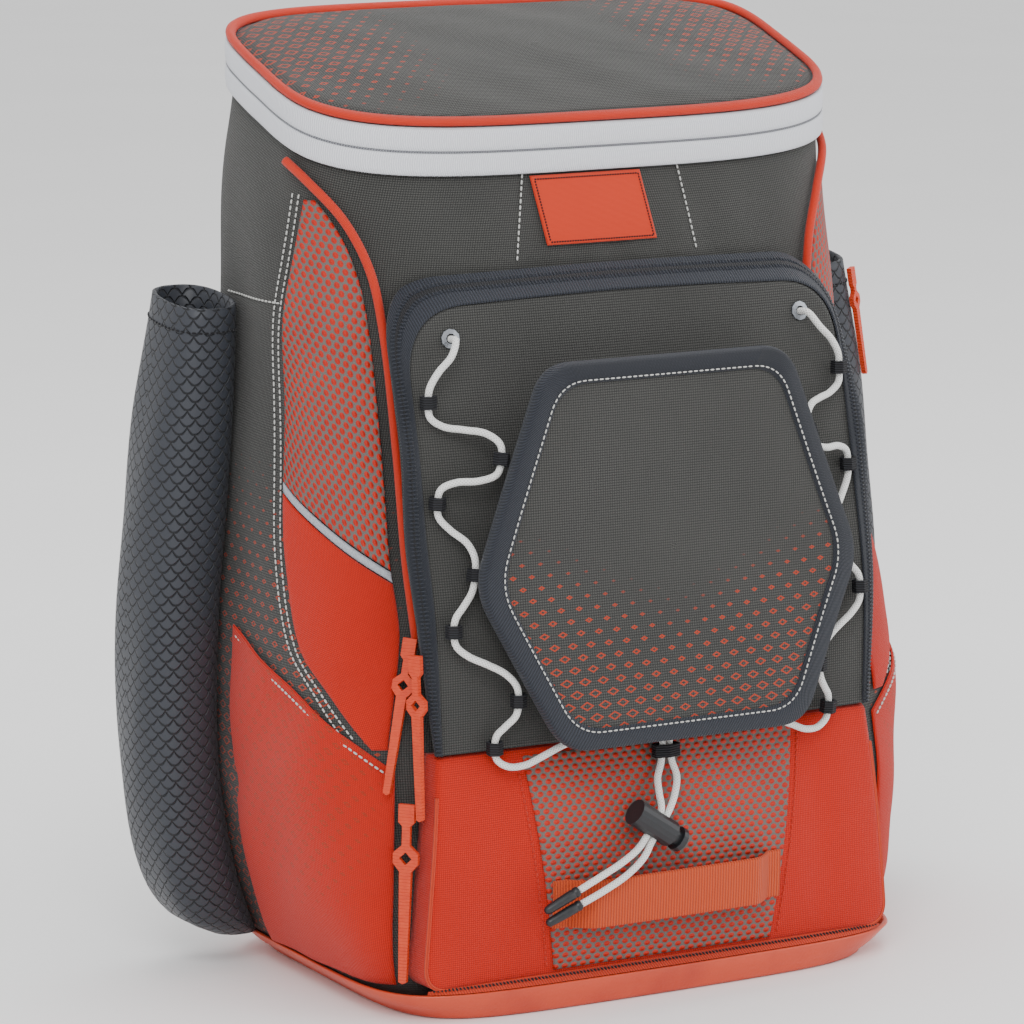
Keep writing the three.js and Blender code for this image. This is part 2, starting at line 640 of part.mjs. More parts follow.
// Course of the elastic cord from its eyelet to the centre loop, chosen by hand: across (as on the right side),
// depth and height.
const laceRoute = [
  [102, -79, 339], [102.9, -86.5, 339], [107.5, -90.5, 332], [114.5, -90.5, 325], [119.3, -89.8, 317],
  [120, -89.6, 310], [119.4, -90.4, 302.5], [113, -92.5, 297.8], [104, -97, 296.2], [95, -103, 294.5],
  [89.6, -107.6, 289.5], [89.8, -109.5, 282], [93, -110.4, 275], [101.5, -107.5, 272], [111.5, -103, 271.4],
  [118.4, -99.8, 268], [120.2, -99.2, 261], [119.6, -99.6, 254], [115, -103, 247.8], [108.6, -108.4, 241.6],
  [105.9, -111.4, 234.4], [106, -112, 226], [108, -112.6, 218], [113.2, -113.2, 211], [117.8, -113.6, 205.5],
  [119, -113.8, 199], [118, -114.5, 191.8], [112.4, -116.6, 186.5], [103.5, -120, 182], [95, -122.8, 177],
  [89.5, -124.2, 170.5], [88, -123.8, 163], [89.4, -123.6, 155.5],
  [93.6, -120.6, 149.8], [97.4, -118.2, 144.8],
  [98, -117.4, 138.6], [96.8, -117.4, 132.6], [91, -118.6, 128.6], [82.5, -120.4, 128.8], [73, -121.8, 132.6],
  [60, -122.4, 137.6], [45, -122.4, 140.4], [30, -121.6, 141], [16.5, -120, 140.4],
];
const loopPlaces = [
  { name: "pocket_loop", at: [5, 16, 25, 35] }, { name: "flap_loop", at: [11, 21, 31] },
];
const centreLoop = new THREE.Vector3(0, -118.8, 127);
const centreWiden = 1.9;       // it takes both strands side by side

function loopRing(middle, run, widen = 1) {
  // A short tube whose bore runs with the cord through its middle.
  const profile = [[loopBore, -1], [loopOuter, -1], [loopOuter, 1], [loopBore, 1], [loopBore, -1]]
    .map(([r, end]) => new THREE.Vector2(r, (end * loopLength) / 2));
  const geometry = new THREE.LatheGeometry(profile, loopSides);
  geometry.scale(widen, 1, 1);
  geometry.applyQuaternion(new THREE.Quaternion().setFromUnitVectors(new THREE.Vector3(0, 1, 0), run));
  return geometry.translate(...middle.toArray());
}

for (const [hand, side] of [[1, "right"], [-1, "left"]]) {
  const route = laceRoute.map(([x, y, z]) => new THREE.Vector3(x * hand, y, z));
  loopPlaces.forEach(({ name, at }) => at.forEach((k, i) => {
    const run = route[k + 1].clone().sub(route[k - 1]).normalize();
    add(`${name}_${side}_${i + 1}`, loopRing(route[k], run), black, 0.6);
  }));
  const eyelet = [[2.6, 0], [5, 0], [5, 1], [2.6, 1.4], [2.6, 0]].map(([r, h]) => new THREE.Vector2(r, h));
  const ring = new THREE.LatheGeometry(eyelet, 10);
  const [x, , z] = laceRoute[0];
  const face = (dx, dz) => new THREE.Vector3((x + dx) * hand, depthOn("front_pocket", x + dx, z + dz), z + dz);
  const [acrossFace, upFace] = [face(4, 0).sub(face(-4, 0)), face(0, 4).sub(face(0, -4))];
  const normal = acrossFace.cross(upFace).multiplyScalar(hand).normalize();
  ring.applyQuaternion(new THREE.Quaternion().setFromUnitVectors(new THREE.Vector3(0, 1, 0), normal));
  ring.translate(...face(0, 0).addScaledVector(normal, sewnGap).toArray());
  add(`eyelet_${side}`, ring, silver, 0.35, 0.8);
}
add("centre_loop", loopRing(centreLoop, new THREE.Vector3(0, 0, 1), centreWiden), black, 0.6);

// Cord lock: a barrel with a cross hole for both strands, and a sprung plunger with a button on it.
const lockHole = new THREE.Vector3(-13, -132, 92);
const lockLean = 34;           // degrees that the barrel leans down to the button
const barrelRadius = 7;
const barrelBack = 15.5;       // length of the barrel on the closed side of its cross hole
const barrelAhead = 9.5;       // the same on the button's side
const boreRadius = 4.7;
const boreFloor = 2;
const plungerRadius = 4.3;
const plungerTail = 3.4;
const buttonRadius = 6.5;
const buttonThick = 3;
const buttonStroke = 4;
const strandGap = 2.15;        // each strand's distance from the middle of the hole
const holeHalf = strandGap + cordRadius + 0.35;
const holeWide = 2 * (cordRadius + 0.5);
const roundSides = 16;

const lockTurn = THREE.MathUtils.degToRad(lockLean);
const lockAxis = new THREE.Vector3(Math.cos(lockTurn), 0, -Math.sin(lockTurn));

function rod(radius, from, to) {
  return solid(new THREE.CylinderGeometry(radius, radius, to - from, roundSides)
    .rotateZ(-Math.PI / 2).translate((from + to) / 2, 0, 0));
}

function slot(from, to) {
  return solid(new THREE.BoxGeometry(to - from, holeWide, barrelRadius * 4).translate((from + to) / 2, 0, 0));
}

function onLock(manifold) {
  return shape(manifold).rotateY(lockTurn).translate(...lockHole.toArray());
}

add("lock_barrel", onLock(rod(barrelRadius, -barrelBack, barrelAhead)
  .subtract(rod(boreRadius, boreFloor - barrelBack, barrelAhead + 1))
  .subtract(slot(-holeHalf, holeHalf))), black, 0.4);
const buttonStand = barrelAhead + buttonStroke + sewnGap;
add("lock_button", onLock(rod(plungerRadius, -holeHalf - plungerTail, buttonStand + 1)
  .add(rod(buttonRadius, buttonStand, buttonStand + buttonThick))
  .subtract(slot(-holeHalf, holeHalf + buttonStroke))), black, 0.4);

// Each strand from the centre loop through the lock to its tip, chosen by hand.
const tailRoutes = {
  left: [
    [-6.6, -118.6, 138.4], [-2.5, -118.8, 133.4], [-2.2, -118.8, 127], [-3.2, -119.2, 120.5], [-6.8, -122.2, 113.8],
    [-9.2, -128, 107], [-10.4, -132, 99.8], [-14.8, -132, 93.2], [-19.2, -132, 86.6], [-25, -133.6, 81.5],
    [-35, -135, 76], [-47.5, -135.4, 70.5], [-60, -135.4, 65],
  ],
  right: [
    [6.6, -118.6, 138.4], [2.5, -118.8, 133.4], [2.2, -118.8, 127], [3.4, -119.2, 120.5], [4.4, -122.2, 113.6],
    [-0.4, -128, 105], [-6.7, -132, 97.4], [-11.2, -132, 90.8], [-15.7, -132, 84.2], [-21.5, -134, 77],
    [-31.5, -135.6, 70], [-45, -136, 63.5], [-59, -136, 58],
  ],
};
const cordSides = 8;
const tipRadius = 2.5;
const tipLength = 21;
for (const [hand, side] of [[1, "right"], [-1, "left"]]) {
  const route = [...laceRoute.map(([x, y, z]) => [x * hand, y, z]), ...tailRoutes[side]]
    .map((p) => new THREE.Vector3(...p));
  add(`bungee_${side}`, tube(route, cordRadius, cordSides), white, 0.7);
  const end = route.at(-1);
  const run = end.clone().sub(route.at(-2)).normalize();
  const tip = new THREE.CylinderGeometry(tipRadius * 0.8, tipRadius, tipLength, 10);
  tip.translate(0, tipLength / 2, 0);
  tip.applyQuaternion(new THREE.Quaternion().setFromUnitVectors(new THREE.Vector3(0, 1, 0), run));
  tip.translate(...end.clone().addScaledVector(run, 0.3).toArray());
  add(`bungee_tip_${side}`, tip, black, 0.4);
}

// Bat sleeves: flat tubes open at the top, on the sides of the body.
const sleeveWall = 2.2;
const sleeveMiddle = 46;       // depth of the sleeve's middle
const sleeveHalf = 30;         // half of its depth front to back
const sleeveBulge = 47;        // how far it stands off the body at its fullest
const sleeveTop = 350;
const sleeveFoot = baseRise + 2;
// out and half are shares of the bulge and of the half depth, on is the share of the bulge left inside.
const sleeveSections = [
  { rise: 0.00, out: 0.52, half: 0.55 }, { rise: 0.03, out: 0.82, half: 0.82 },
  { rise: 0.10, out: 0.95, half: 0.95 },
  { rise: 0.30, out: 0.97, half: 1.00 }, { rise: 0.55, out: 1.00, half: 1.00 },
  { rise: 0.80, out: 0.97, half: 0.98 },
  { rise: 1.00, out: 0.78, half: 0.88 },
];
const sleeveSides = 20;
const rimSlope = 0.12;

function sleeveSide(z) {
  // The widest that the body is behind a sleeve at a height.
  const turnsBehind = [80, 90, 100, 110, 120];
  return Math.max(...turnsBehind.map((turn) => bodyAt(turn, Math.min(z, sleeveTop + 8)).x));
}

function sleeveRing(row, inset, lift) {
  const z = between(sleeveFoot, sleeveTop, row.rise) + lift;
  const inner = Math.max(sleeveSide(z), bodyAt(90, z).x) + clothGap + inset;
  const outer = inner - inset + sleeveBulge * row.out - inset;
  const half = sleeveHalf * row.half - inset;
  return Array.from({ length: sleeveSides }, (_, i) => {
    const angle = (i / sleeveSides) * 2 * Math.PI;
    const [c, s] = [Math.cos(angle), Math.sin(angle)];
    const x = (inner + outer) / 2 + ((outer - inner) / 2) * Math.sign(c) * Math.abs(c) ** 0.75;
    const y = sleeveMiddle + half * Math.sign(s) * Math.abs(s) ** 0.85;
    return new THREE.Vector3(x, y, z + rimSlope * row.rise * (y - sleeveMiddle));
  });
}

for (const [hand, side] of [[1, "right"], [-1, "left"]]) {
  const rings = [
    ...sleeveSections.map((row) => sleeveRing(row, 0, 0)),
    ...sleeveSections.filter((row, i) => i !== 1).reverse()
      .map((row) => sleeveRing(row, sleeveWall, row.rise === 0 ? sleeveWall : 0)),
  ];
  rings.forEach((ring) => ring.forEach((point) => point.setX(point.x * hand)));
  add(`bat_sleeve_${side}`, loft(rings), slate, 0.5);
}

// Zip pulls: a slider, a wire link and a moulded pull with an eye and a tapering tail.
function pull(name, top, foot, outward, width) {
  // The flat shape hangs from the slider at top to the end of the tail at foot, facing outward.
  const long = top.distanceTo(foot);
  const eye = width * 0.95;
  const eyeAt = long * 0.3;
  const outline = new THREE.Shape([
    [-width * 0.6, 0], [-width * 0.6, -9], [-width * 0.3, -11], [-width * 0.3, eye - eyeAt],
    [-eye, 0.4 * eye - eyeAt], [-eye, -0.4 * eye - eyeAt], [-width * 0.45, -eye - eyeAt], [-width * 0.3, 1 - long],
    [0, -long], [width * 0.3, 1 - long], [width * 0.45, -eye - eyeAt], [eye, -0.4 * eye - eyeAt],
    [eye, 0.4 * eye - eyeAt], [width * 0.3, eye - eyeAt], [width * 0.3, -11], [width * 0.6, -9], [width * 0.6, 0],
  ].map(([x, y]) => new THREE.Vector2(x, y)));
  outline.holes.push(new THREE.Path([[0, 1], [1, 0], [0, -1], [-1, 0]]
    .map(([x, y]) => new THREE.Vector2(x * eye * 0.5, y * eye * 0.5 - eyeAt))));
  const geometry = new THREE.ExtrudeGeometry(outline, { depth: pullThick, bevelEnabled: false });
  const up = top.clone().sub(foot).normalize();
  const across = up.clone().cross(outward).normalize();
  const facing = across.clone().cross(up);
  geometry.applyMatrix4(new THREE.Matrix4().makeBasis(across, up, facing)).translate(...top.toArray());
  add(name, geometry, orange, 0.5);
}
const pullThick = 2.6;
const pocketPullHead = 57;     // height of the front pocket's sliders over its foot
const lowerPullOut = 5;        // how far the lower pocket's pull hangs off its foot corner
const lowerPullHead = 12;      // the same off its top corner
const lowerPullDrop = 23.2;    // how far its slider lies under the pocket's top
const sleevePullDrop = 7;      // how far the sleeves' sliders lie under the rims
const sleevePullOut = { left: 24.22, right: 35.22 };   // how far they lie off the body's side
const sleevePullLong = { left: 81, right: 59 };
const vec = (x, y, z) => new THREE.Vector3(x, y, z);
const pullHead = pocketFoot + pocketPullHead;
pull("pocket_pull_1", vec(-tapeHalf - 4, -92, pullHead), vec(-tapeHalf - 20, -96, pullHead - 77),
  vec(-0.75, -0.66, 0), 6);
pull("pocket_pull_2", vec(-tapeHalf - 7.4, -104, pullHead - 6), vec(-tapeHalf - 7.8, -109.6, pullHead - 89),
  vec(-0.9, -0.4, 0), 6);
pull("lower_pull", vec(-lowerTopHalf - lowerPullHead, -bodyFront, lowerPocketTop - lowerPullDrop),
  vec(-lowerFootHalf - lowerPullOut, -bodyFront - 2, lowerPocketFoot + 5), vec(-0.75, -0.66, 0), 7);
const sleevePullTop = sleeveTop - sleevePullDrop;
const sleevePullX = (z, side) => sleeveSide(z) + sleevePullOut[side];
const leftFoot = sleevePullTop - sleevePullLong.left;
const rightFoot = sleevePullTop - sleevePullLong.right;
pull("sleeve_pull_left", vec(-sleevePullX(sleevePullTop, "left"), sleeveMiddle + 28, sleevePullTop),
  vec(-sleevePullX(leftFoot, "left") - 5.1, sleeveMiddle + 32.4, leftFoot), vec(-0.5, 0.86, 0), 5);
pull("sleeve_pull_right", vec(sleevePullX(sleevePullTop, "right"), sleeveMiddle - 21.6, sleevePullTop),
  vec(sleevePullX(rightFoot, "right") + 6.4, sleeveMiddle - 22.6, rightFoot), vec(0.6, -0.8, 0), 5);

// Hidden side, finished plainly: a back pad, two shoulder straps with their webbing, and a haul handle.
const padThick = 10;
const padHalf = 118;
const padFoot = 50;
const padTop = 405;
const padTaper = 0.12;

function padDepth(x, z, out) {
  // Depth of the back, or of the pad's face over it, thinned towards the pad's edges.
  const t = (z - padFoot) / (padTop - padFoot);
  const s = 1 - Math.abs(x) / (padHalf * (1 - padTaper * t));
  const edge = Math.min(1, 3 * s + 0.25) * Math.min(1, 6 * Math.min(t, 1 - t) + 0.25);
  const turn = 180 - THREE.MathUtils.radToDeg(Math.atan2(Math.abs(x), bodyBack - spineY));
  return bodyAt(turn, z).y + clothGap + out * Math.max(edge, 0.25);
}

add("back_pad", skin((s, t, out) => {
  const z = between(padFoot, padTop, t);
  const x = between(padHalf, -padHalf, s) * (1 - padTaper * t);
  return new THREE.Vector3(x, padDepth(x, z, out), z);
}, 8, 6, padThick), slate);

const strapThick = 9;
const strapWidth = 62;
const strapTopX = 52;
const strapFootX = 92;
const strapHead = 398;
const strapFoot = 62;
const strapStand = 15;
// Course of a strap from its head down: how far across, how far off the pad, how wide, and how thick.
const strapRows = [
  { rise: 0.00, across: 0.00, stand: 0.02, width: 0.75, thick: 0.6 },
  { rise: 0.15, across: 0.02, stand: 0.75, width: 1.00, thick: 1.0 },
  { rise: 0.40, across: 0.15, stand: 1.00, width: 1.00, thick: 1.0 },
  { rise: 0.62, across: 0.45, stand: 1.00, width: 0.85, thick: 1.0 },
  { rise: 0.74, across: 0.66, stand: 0.90, width: 0.42, thick: 0.3 },
  { rise: 1.00, across: 1.00, stand: 0.00, width: 0.40, thick: 0.3 },
];
for (const [hand, side] of [[1, "right"], [-1, "left"]]) {
  add(`shoulder_strap_${side}`, skin((s, t, out) => {
    const z = between(strapHead, strapFoot, t);
    const middle = between(strapTopX, strapFootX, column(strapRows, "across", t));
    const half = (strapWidth / 2) * column(strapRows, "width", t);
    const x = middle + between(half, -half, s);
    const stand = clothGap + strapStand * Math.max(column(strapRows, "stand", t), 0);
    const y = padDepth(middle, z, padThick) + stand + out * column(strapRows, "thick", t);
    return new THREE.Vector3(hand * x, y, z);
  }, 3, 11, strapThick), slate);
}

const handleHalf = 36;
const handleThick = 5;
const handleWide = 22;
const handleReach = 24;
const handleHeight = 442;
const handleSeat = 0.006;      // share of the half turn left open at each end, so that it clears the back
add("haul_handle", skin((s, t, out) => {
  const angle = Math.PI * between(handleSeat, 1 - handleSeat, s);
  const x = -(handleHalf + out) * Math.cos(angle);
  const z = handleHeight + handleWide * (t - 0.5);
  return new THREE.Vector3(x, bodyAt(160, z).y + (handleReach + out) * Math.sin(angle), z);
}, 12, 1, handleThick), black);

// The origin lies on the ground under the middle of the pack, its cord apart.
const cordNodes = /^(bungee|lock)/;
const extent = new THREE.Box3();
pack.children.filter((mesh) => !cordNodes.test(mesh.name)).forEach((mesh) => extent.expandByObject(mesh));
const middle = extent.getCenter(new THREE.Vector3());
pack.position.set(-middle.x, -middle.y, -extent.min.z);

export default pack;
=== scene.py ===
"""Baseball bat backpack, standing filled. Sizes are in millimetres, turned to metres as a mesh is made."""

import bpy
import numpy as np
from mathutils import Matrix, Vector


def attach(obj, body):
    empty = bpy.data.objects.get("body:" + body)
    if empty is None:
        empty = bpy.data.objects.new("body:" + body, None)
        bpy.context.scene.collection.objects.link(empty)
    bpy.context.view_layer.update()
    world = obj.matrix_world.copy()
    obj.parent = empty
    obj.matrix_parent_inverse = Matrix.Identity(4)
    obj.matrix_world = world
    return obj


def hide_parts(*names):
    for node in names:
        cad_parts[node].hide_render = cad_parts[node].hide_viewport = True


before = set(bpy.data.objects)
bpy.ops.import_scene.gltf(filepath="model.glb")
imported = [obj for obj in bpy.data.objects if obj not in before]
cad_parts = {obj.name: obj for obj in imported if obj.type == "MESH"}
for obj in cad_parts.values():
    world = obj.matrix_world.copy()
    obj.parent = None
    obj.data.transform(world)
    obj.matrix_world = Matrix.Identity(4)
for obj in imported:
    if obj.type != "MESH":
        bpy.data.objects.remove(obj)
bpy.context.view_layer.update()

# Camera: a long lens at the photograph's angle, with the frame's width across 36 mm of sensor.
depth_shift = 8.251            # the millimetre depths start from a line this far behind the origin
lens = 170.86
eye = Vector((-1229.7, -2176.6 + depth_shift, 693.3)) / 1000
right = Vector((0.8746, -0.4848, 0)).normalized()
looking = Vector((0.47669, 0.85998, -0.18224)).normalized()
up = right.cross(looking)
camera_data = bpy.data.cameras.new("camera")
camera_data.lens = lens
camera_data.sensor_width = 36
camera_data.clip_end = 30
camera = bpy.data.objects.new("camera", camera_data)
bpy.context.scene.collection.objects.link(camera)
camera.matrix_world = Matrix.Translation(eye) @ Matrix((right, up, -looking)).transposed().to_4x4()
bpy.context.scene.camera = camera

# Elastic cord: two white braided cords that lace the flap down, each from its eyelet through webbing loops
# to the centre loop, and on through the cord lock to a moulded tip. Limp, with its whole length in view.
cord_radius = 1.8
lace_route = [
    (102, -79, 339), (102.9, -86.5, 339), (107.5, -90.5, 332), (114.5, -90.5, 325),
    (119.3, -89.8, 317), (120, -89.6, 310), (119.4, -90.4, 302.5), (113, -92.5, 297.8),
    (104, -97, 296.2), (95, -103, 294.5), (89.6, -107.6, 289.5), (89.8, -109.5, 282),
    (93, -110.4, 275), (101.5, -107.5, 272), (111.5, -103, 271.4), (118.4, -99.8, 268),
    (120.2, -99.2, 261), (119.6, -99.6, 254), (115, -103, 247.8), (108.6, -108.4, 241.6),
    (105.9, -111.4, 234.4), (106, -112, 226), (108, -112.6, 218), (113.2, -113.2, 211),
    (117.8, -113.6, 205.5), (119, -113.8, 199), (118, -114.5, 191.8), (112.4, -116.6, 186.5),
    (103.5, -120, 182), (95, -122.8, 177), (89.5, -124.2, 170.5), (88, -123.8, 163),
    (89.4, -123.6, 155.5), (93.6, -120.6, 149.8), (97.4, -118.2, 144.8), (98, -117.4, 138.6),
    (96.8, -117.4, 132.6), (91, -118.6, 128.6), (82.5, -120.4, 128.8), (73, -121.8, 132.6),
    (60, -122.4, 137.6), (45, -122.4, 140.4), (30, -121.6, 141), (16.5, -120, 140.4),
]
tail_routes = {
    "left": [
        (-6.6, -118.6, 138.4), (-2.5, -118.8, 133.4), (-2.2, -118.8, 127), (-3.2, -119.2, 120.5),
        (-6.8, -122.2, 113.8), (-9.2, -128, 107), (-10.4, -132, 99.8), (-14.8, -132, 93.2),
        (-19.2, -132, 86.6), (-25, -133.6, 81.5), (-35, -135, 76), (-47.5, -135.4, 70.5),
        (-60, -135.4, 65),
    ],
    "right": [
        (6.6, -118.6, 138.4), (2.5, -118.8, 133.4), (2.2, -118.8, 127), (3.4, -119.2, 120.5),
        (4.4, -122.2, 113.6), (-0.4, -128, 105), (-6.7, -132, 97.4), (-11.2, -132, 90.8),
        (-15.7, -132, 84.2), (-21.5, -134, 77), (-31.5, -135.6, 70), (-45, -136, 63.5),
        (-59, -136, 58),
    ],
}
hands = (("right", 1), ("left", -1))


def metres(points):
    """Millimetres to metres about the origin: y moves back by the depth shift, all over a thousand."""
    return (np.asarray(points, float) + (0, depth_shift, 0)) / 1000


def unit(vectors):
    """Each vector over its own length."""
    return vectors / np.maximum(np.linalg.norm(vectors, axis=-1, keepdims=True), 1e-9)


def flowing(points, count):
    """Evenly spaced points on a centripetal Catmull-Rom curve: knots a root of each chord apart, with each
    span a cubic between its two points, drawn densely and then cut into equal lengths."""
    p = np.asarray(points, float)
    p = np.vstack([2 * p[:1] - p[1:2], p, 2 * p[-1:] - p[-2:-1]])
    knots = np.concatenate([[0], np.cumsum(np.sqrt(np.linalg.norm(np.diff(p, axis=0), axis=1)))])
    t = np.linspace(knots[1], knots[-2], 24 * len(p))[:, None]
    i = np.clip(np.searchsorted(knots, t[:, 0], side="right") - 1, 1, len(p) - 3)
    k = [knots[i + n][:, None] for n in (-1, 0, 1, 2)]
    q = [p[i + n] for n in (-1, 0, 1, 2)]
    a = [((k[n + 1] - t) * q[n] + (t - k[n]) * q[n + 1]) / (k[n + 1] - k[n]) for n in range(3)]
    b = [((k[n + 2] - t) * a[n] + (t - k[n]) * a[n + 1]) / (k[n + 2] - k[n]) for n in range(2)]
    dense = ((k[2] - t) * b[0] + (t - k[1]) * b[1]) / (k[2] - k[1])
    run = np.concatenate([[0], np.cumsum(np.linalg.norm(np.diff(dense, axis=0), axis=1))])
    even = np.linspace(0, run[-1], count)
    return np.stack([np.interp(even, run, dense[:, axis]) for axis in range(3)], axis=1)


def grid_mesh(name, points, across_closed=False, along_closed=False, caps=False, texture=None, marks=None):
    """A mesh through a grid of points (rows, columns, 3) in millimetres, four-sided faces between them.
    The texture map is the distance along each row and down each column, in metres, unless it is given.
    Marks are named values of the grid, kept on its points. Caps close the first and the last row."""
    points = np.asarray(points, float)
    rows, columns = points.shape[:2]
    if texture is None:
        looped = np.pad(points, ((0, 1), (0, 1), (0, 0)), mode="wrap")
        along_row = np.linalg.norm(np.diff(looped, axis=1), axis=2)
        down = np.linalg.norm(np.diff(looped, axis=0), axis=2)[:, :-1].mean(axis=1)
        u = np.concatenate([np.zeros((rows + 1, 1)), np.cumsum(along_row, axis=1)], axis=1)
        u -= u[:, columns // 2:columns // 2 + 1]
        v = np.concatenate([[0], np.cumsum(down)])
        texture = np.stack([u, np.repeat(v[:, None], columns + 1, axis=1)], axis=2) / 1000
    else:
        texture = np.pad(texture, ((0, 1), (0, 1), (0, 0)), mode="wrap")
    index = np.arange(rows * columns).reshape(rows, columns)
    r = np.arange(rows if along_closed else rows - 1)
    c = np.arange(columns if across_closed else columns - 1)
    r, c = (a.ravel() for a in np.meshgrid(r, c, indexing="ij"))
    corners = [(r, c), (r, c + 1), (r + 1, c + 1), (r + 1, c)]
    faces = np.stack([index[a % rows, b % columns] for a, b in corners], axis=1)
    flat = metres(points.reshape(-1, 3))
    maps = np.stack([texture[a, b] for a, b in corners], axis=1)
    faces, maps = [list(map(int, f)) for f in faces], list(maps)
    if caps:
        for row, turn in ((0, -1), (rows - 1, 1)):
            ring = [int(n) for n in index[row]][::turn]
            faces.append(ring)
            middle = points[row].mean(axis=0)
            spoke = np.linalg.norm(points[row] - middle, axis=1) / 1000
            angle = np.linspace(0, 2 * np.pi, columns, endpoint=False)
            disc = np.stack([spoke * np.cos(angle), spoke * np.sin(angle)], axis=1)
            maps.append(disc[::turn])
    mesh = bpy.data.meshes.new(name)
    mesh.from_pydata(flat.tolist(), [], faces)
    layer = mesh.uv_layers.new(name="cloth")
    layer.data.foreach_set("uv", np.concatenate([np.asarray(m, float) for m in maps]).ravel())
    for key, values in (marks or {}).items():
        mark = mesh.attributes.new(key, "FLOAT", "POINT")
        mark.data.foreach_set("value", np.asarray(values, float).ravel())
    mesh.polygons.foreach_set("use_smooth", [True] * len(mesh.polygons))
    mesh.update()
    return mesh


def turned_out(mesh, centre=None):
    """Flips every face if the mesh encloses a negative volume, or, for an open sheet with a centre given,
    if its normals point towards that centre on the whole."""
    mesh.calc_loop_triangles()
    corner = np.empty(len(mesh.loop_triangles) * 3, np.int32)
    mesh.loop_triangles.foreach_get("vertices", corner)
    place = np.empty(len(mesh.vertices) * 3)
    mesh.vertices.foreach_get("co", place)
    a, b, c = place.reshape(-1, 3)[corner.reshape(-1, 3)].transpose(1, 0, 2)
    middle = np.zeros(3) if centre is None else metres(centre)
    if np.einsum("ij,ij->i", a - middle, np.cross(b - middle, c - middle)).sum() < 0:
        mesh.flip_normals()
    return mesh


def piece(name, mesh, material, slot, *nodes, body="pack"):
    """Makes the mesh a piece: its material, the nodes it stands for, what it rides on. The slot is not used.
    """
    made = bpy.data.objects.new(name, mesh)
    bpy.context.scene.collection.objects.link(made)
    made.data.materials.append(material)
    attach(made, body)
    if nodes:
        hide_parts(*nodes)
    return made


def tube_rows(points, radius, sides):
    """Rings square to a course: each ring's first spoke is the last one's, less its part along the course.
    radius may be one length or one for each point."""
    run = unit(np.gradient(points, axis=0))
    spokes = np.empty_like(run)
    spoke = np.array([0.0, 0.0, 1.0]) if abs(run[0][2]) < 0.9 else np.array([1.0, 0.0, 0.0])
    for i, tangent in enumerate(run):
        spoke = unit(spoke - tangent * (spoke @ tangent))
        spokes[i] = spoke
    other = np.cross(run, spokes)
    angle = np.linspace(0, 2 * np.pi, sides, endpoint=False)
    reach = np.broadcast_to(np.asarray(radius, float), (len(points),))[:, None, None]
    ring = spokes[:, None] * np.cos(angle)[None, :, None] + other[:, None] * np.sin(angle)[None, :, None]
    return points[:, None] + reach * ring


class Nodes:
    """A material or a group being built: nodes are added with their inputs given as values or sockets."""

    def __init__(self, tree):
        self.tree = tree

    def add(self, kind, inputs=(), **settings):
        node = self.tree.nodes.new(kind)
        for key, value in settings.items():
            setattr(node, key, value)
        pairs = inputs.items() if isinstance(inputs, dict) else enumerate(inputs)
        for key, value in pairs:
            if isinstance(value, bpy.types.NodeSocket):
                self.tree.links.new(value, node.inputs[key])
            else:
                node.inputs[key].default_value = value
        return node

    def math(self, operation, *inputs):
        return self.add("ShaderNodeMath", inputs, operation=operation).outputs[0]

    def span(self, value, low, high, to_low=0.0, to_high=1.0):
        return self.add("ShaderNodeMapRange", [value, low, high, to_low, to_high], clamp=True).outputs[0]

    def mix(self, share, first, second):
        node = self.add("ShaderNodeMix", data_type="RGBA")
        for key, value in ((0, share), (6, first), (7, second)):
            if isinstance(value, bpy.types.NodeSocket):
                self.tree.links.new(value, node.inputs[key])
            else:
                node.inputs[key].default_value = value
        return node.outputs[2]

    def noise(self, vector, scale, detail=2.0, roughness=0.5):
        inputs = {"Vector": vector, "Scale": scale, "Detail": detail, "Roughness": roughness}
        return self.add("ShaderNodeTexNoise", inputs).outputs[0]

    def group(self, tree, **inputs):
        node = self.add("ShaderNodeGroup", node_tree=tree)
        for key, value in inputs.items():
            key = key.replace("_", " ")
            if isinstance(value, bpy.types.NodeSocket):
                self.tree.links.new(value, node.inputs[key])
            else:
                node.inputs[key].default_value = value
        return node.outputs


def new_group(name, inputs, outputs):
    """An empty shader node group with its sockets, as (nodes, inputs, output node)."""
    tree = bpy.data.node_groups.new(name, "ShaderNodeTree")
    kinds = {"v": "NodeSocketVector", "f": "NodeSocketFloat", "c": "NodeSocketColor"}
    for direction, sockets in (("INPUT", inputs), ("OUTPUT", outputs)):
        for label, kind in sockets:
            tree.interface.new_socket(label, in_out=direction, socket_type=kinds[kind])
    nodes = Nodes(tree)
    return nodes, nodes.add("NodeGroupInput").outputs, nodes.add("NodeGroupOutput").inputs


def colour(red, green, blue):
    """Screen colour from 0 to 255 as linear light: above 0.04, its 2.4th power once shifted and scaled."""
    s = np.array([red, green, blue]) / 255
    linear = np.where(s <= 0.04045, s / 12.92, ((s + 0.055) / 1.055) ** 2.4)
    return (*linear.tolist(), 1.0)


def finish_of(name, roughness=0.8, sheen=0.0, specular=0.5, coat=0.0):
    """A material with one Principled shader: its nodes, the shader's inputs and the tree's link maker."""
    material = bpy.data.materials.new(name)
    material.use_nodes = True
    nodes = Nodes(material.node_tree)
    shader = material.node_tree.nodes["Principled BSDF"].inputs
    shader["Roughness"].default_value = roughness
    shader["Specular IOR Level"].default_value = specular
    shader["Sheen Weight"].default_value = sheen
    shader["Sheen Roughness"].default_value = 0.45
    shader["Coat Weight"].default_value = coat
    return material, nodes, shader


def bumped(nodes, shader, height, depth):
    """Feeds a height through a Bump node to the shader's normal; depth is the relief in metres."""
    bump = nodes.add("ShaderNodeBump", {"Strength": 1.0, "Distance": depth, "Height": height})
    nodes.tree.links.new(bump.outputs[0], shader["Normal"])


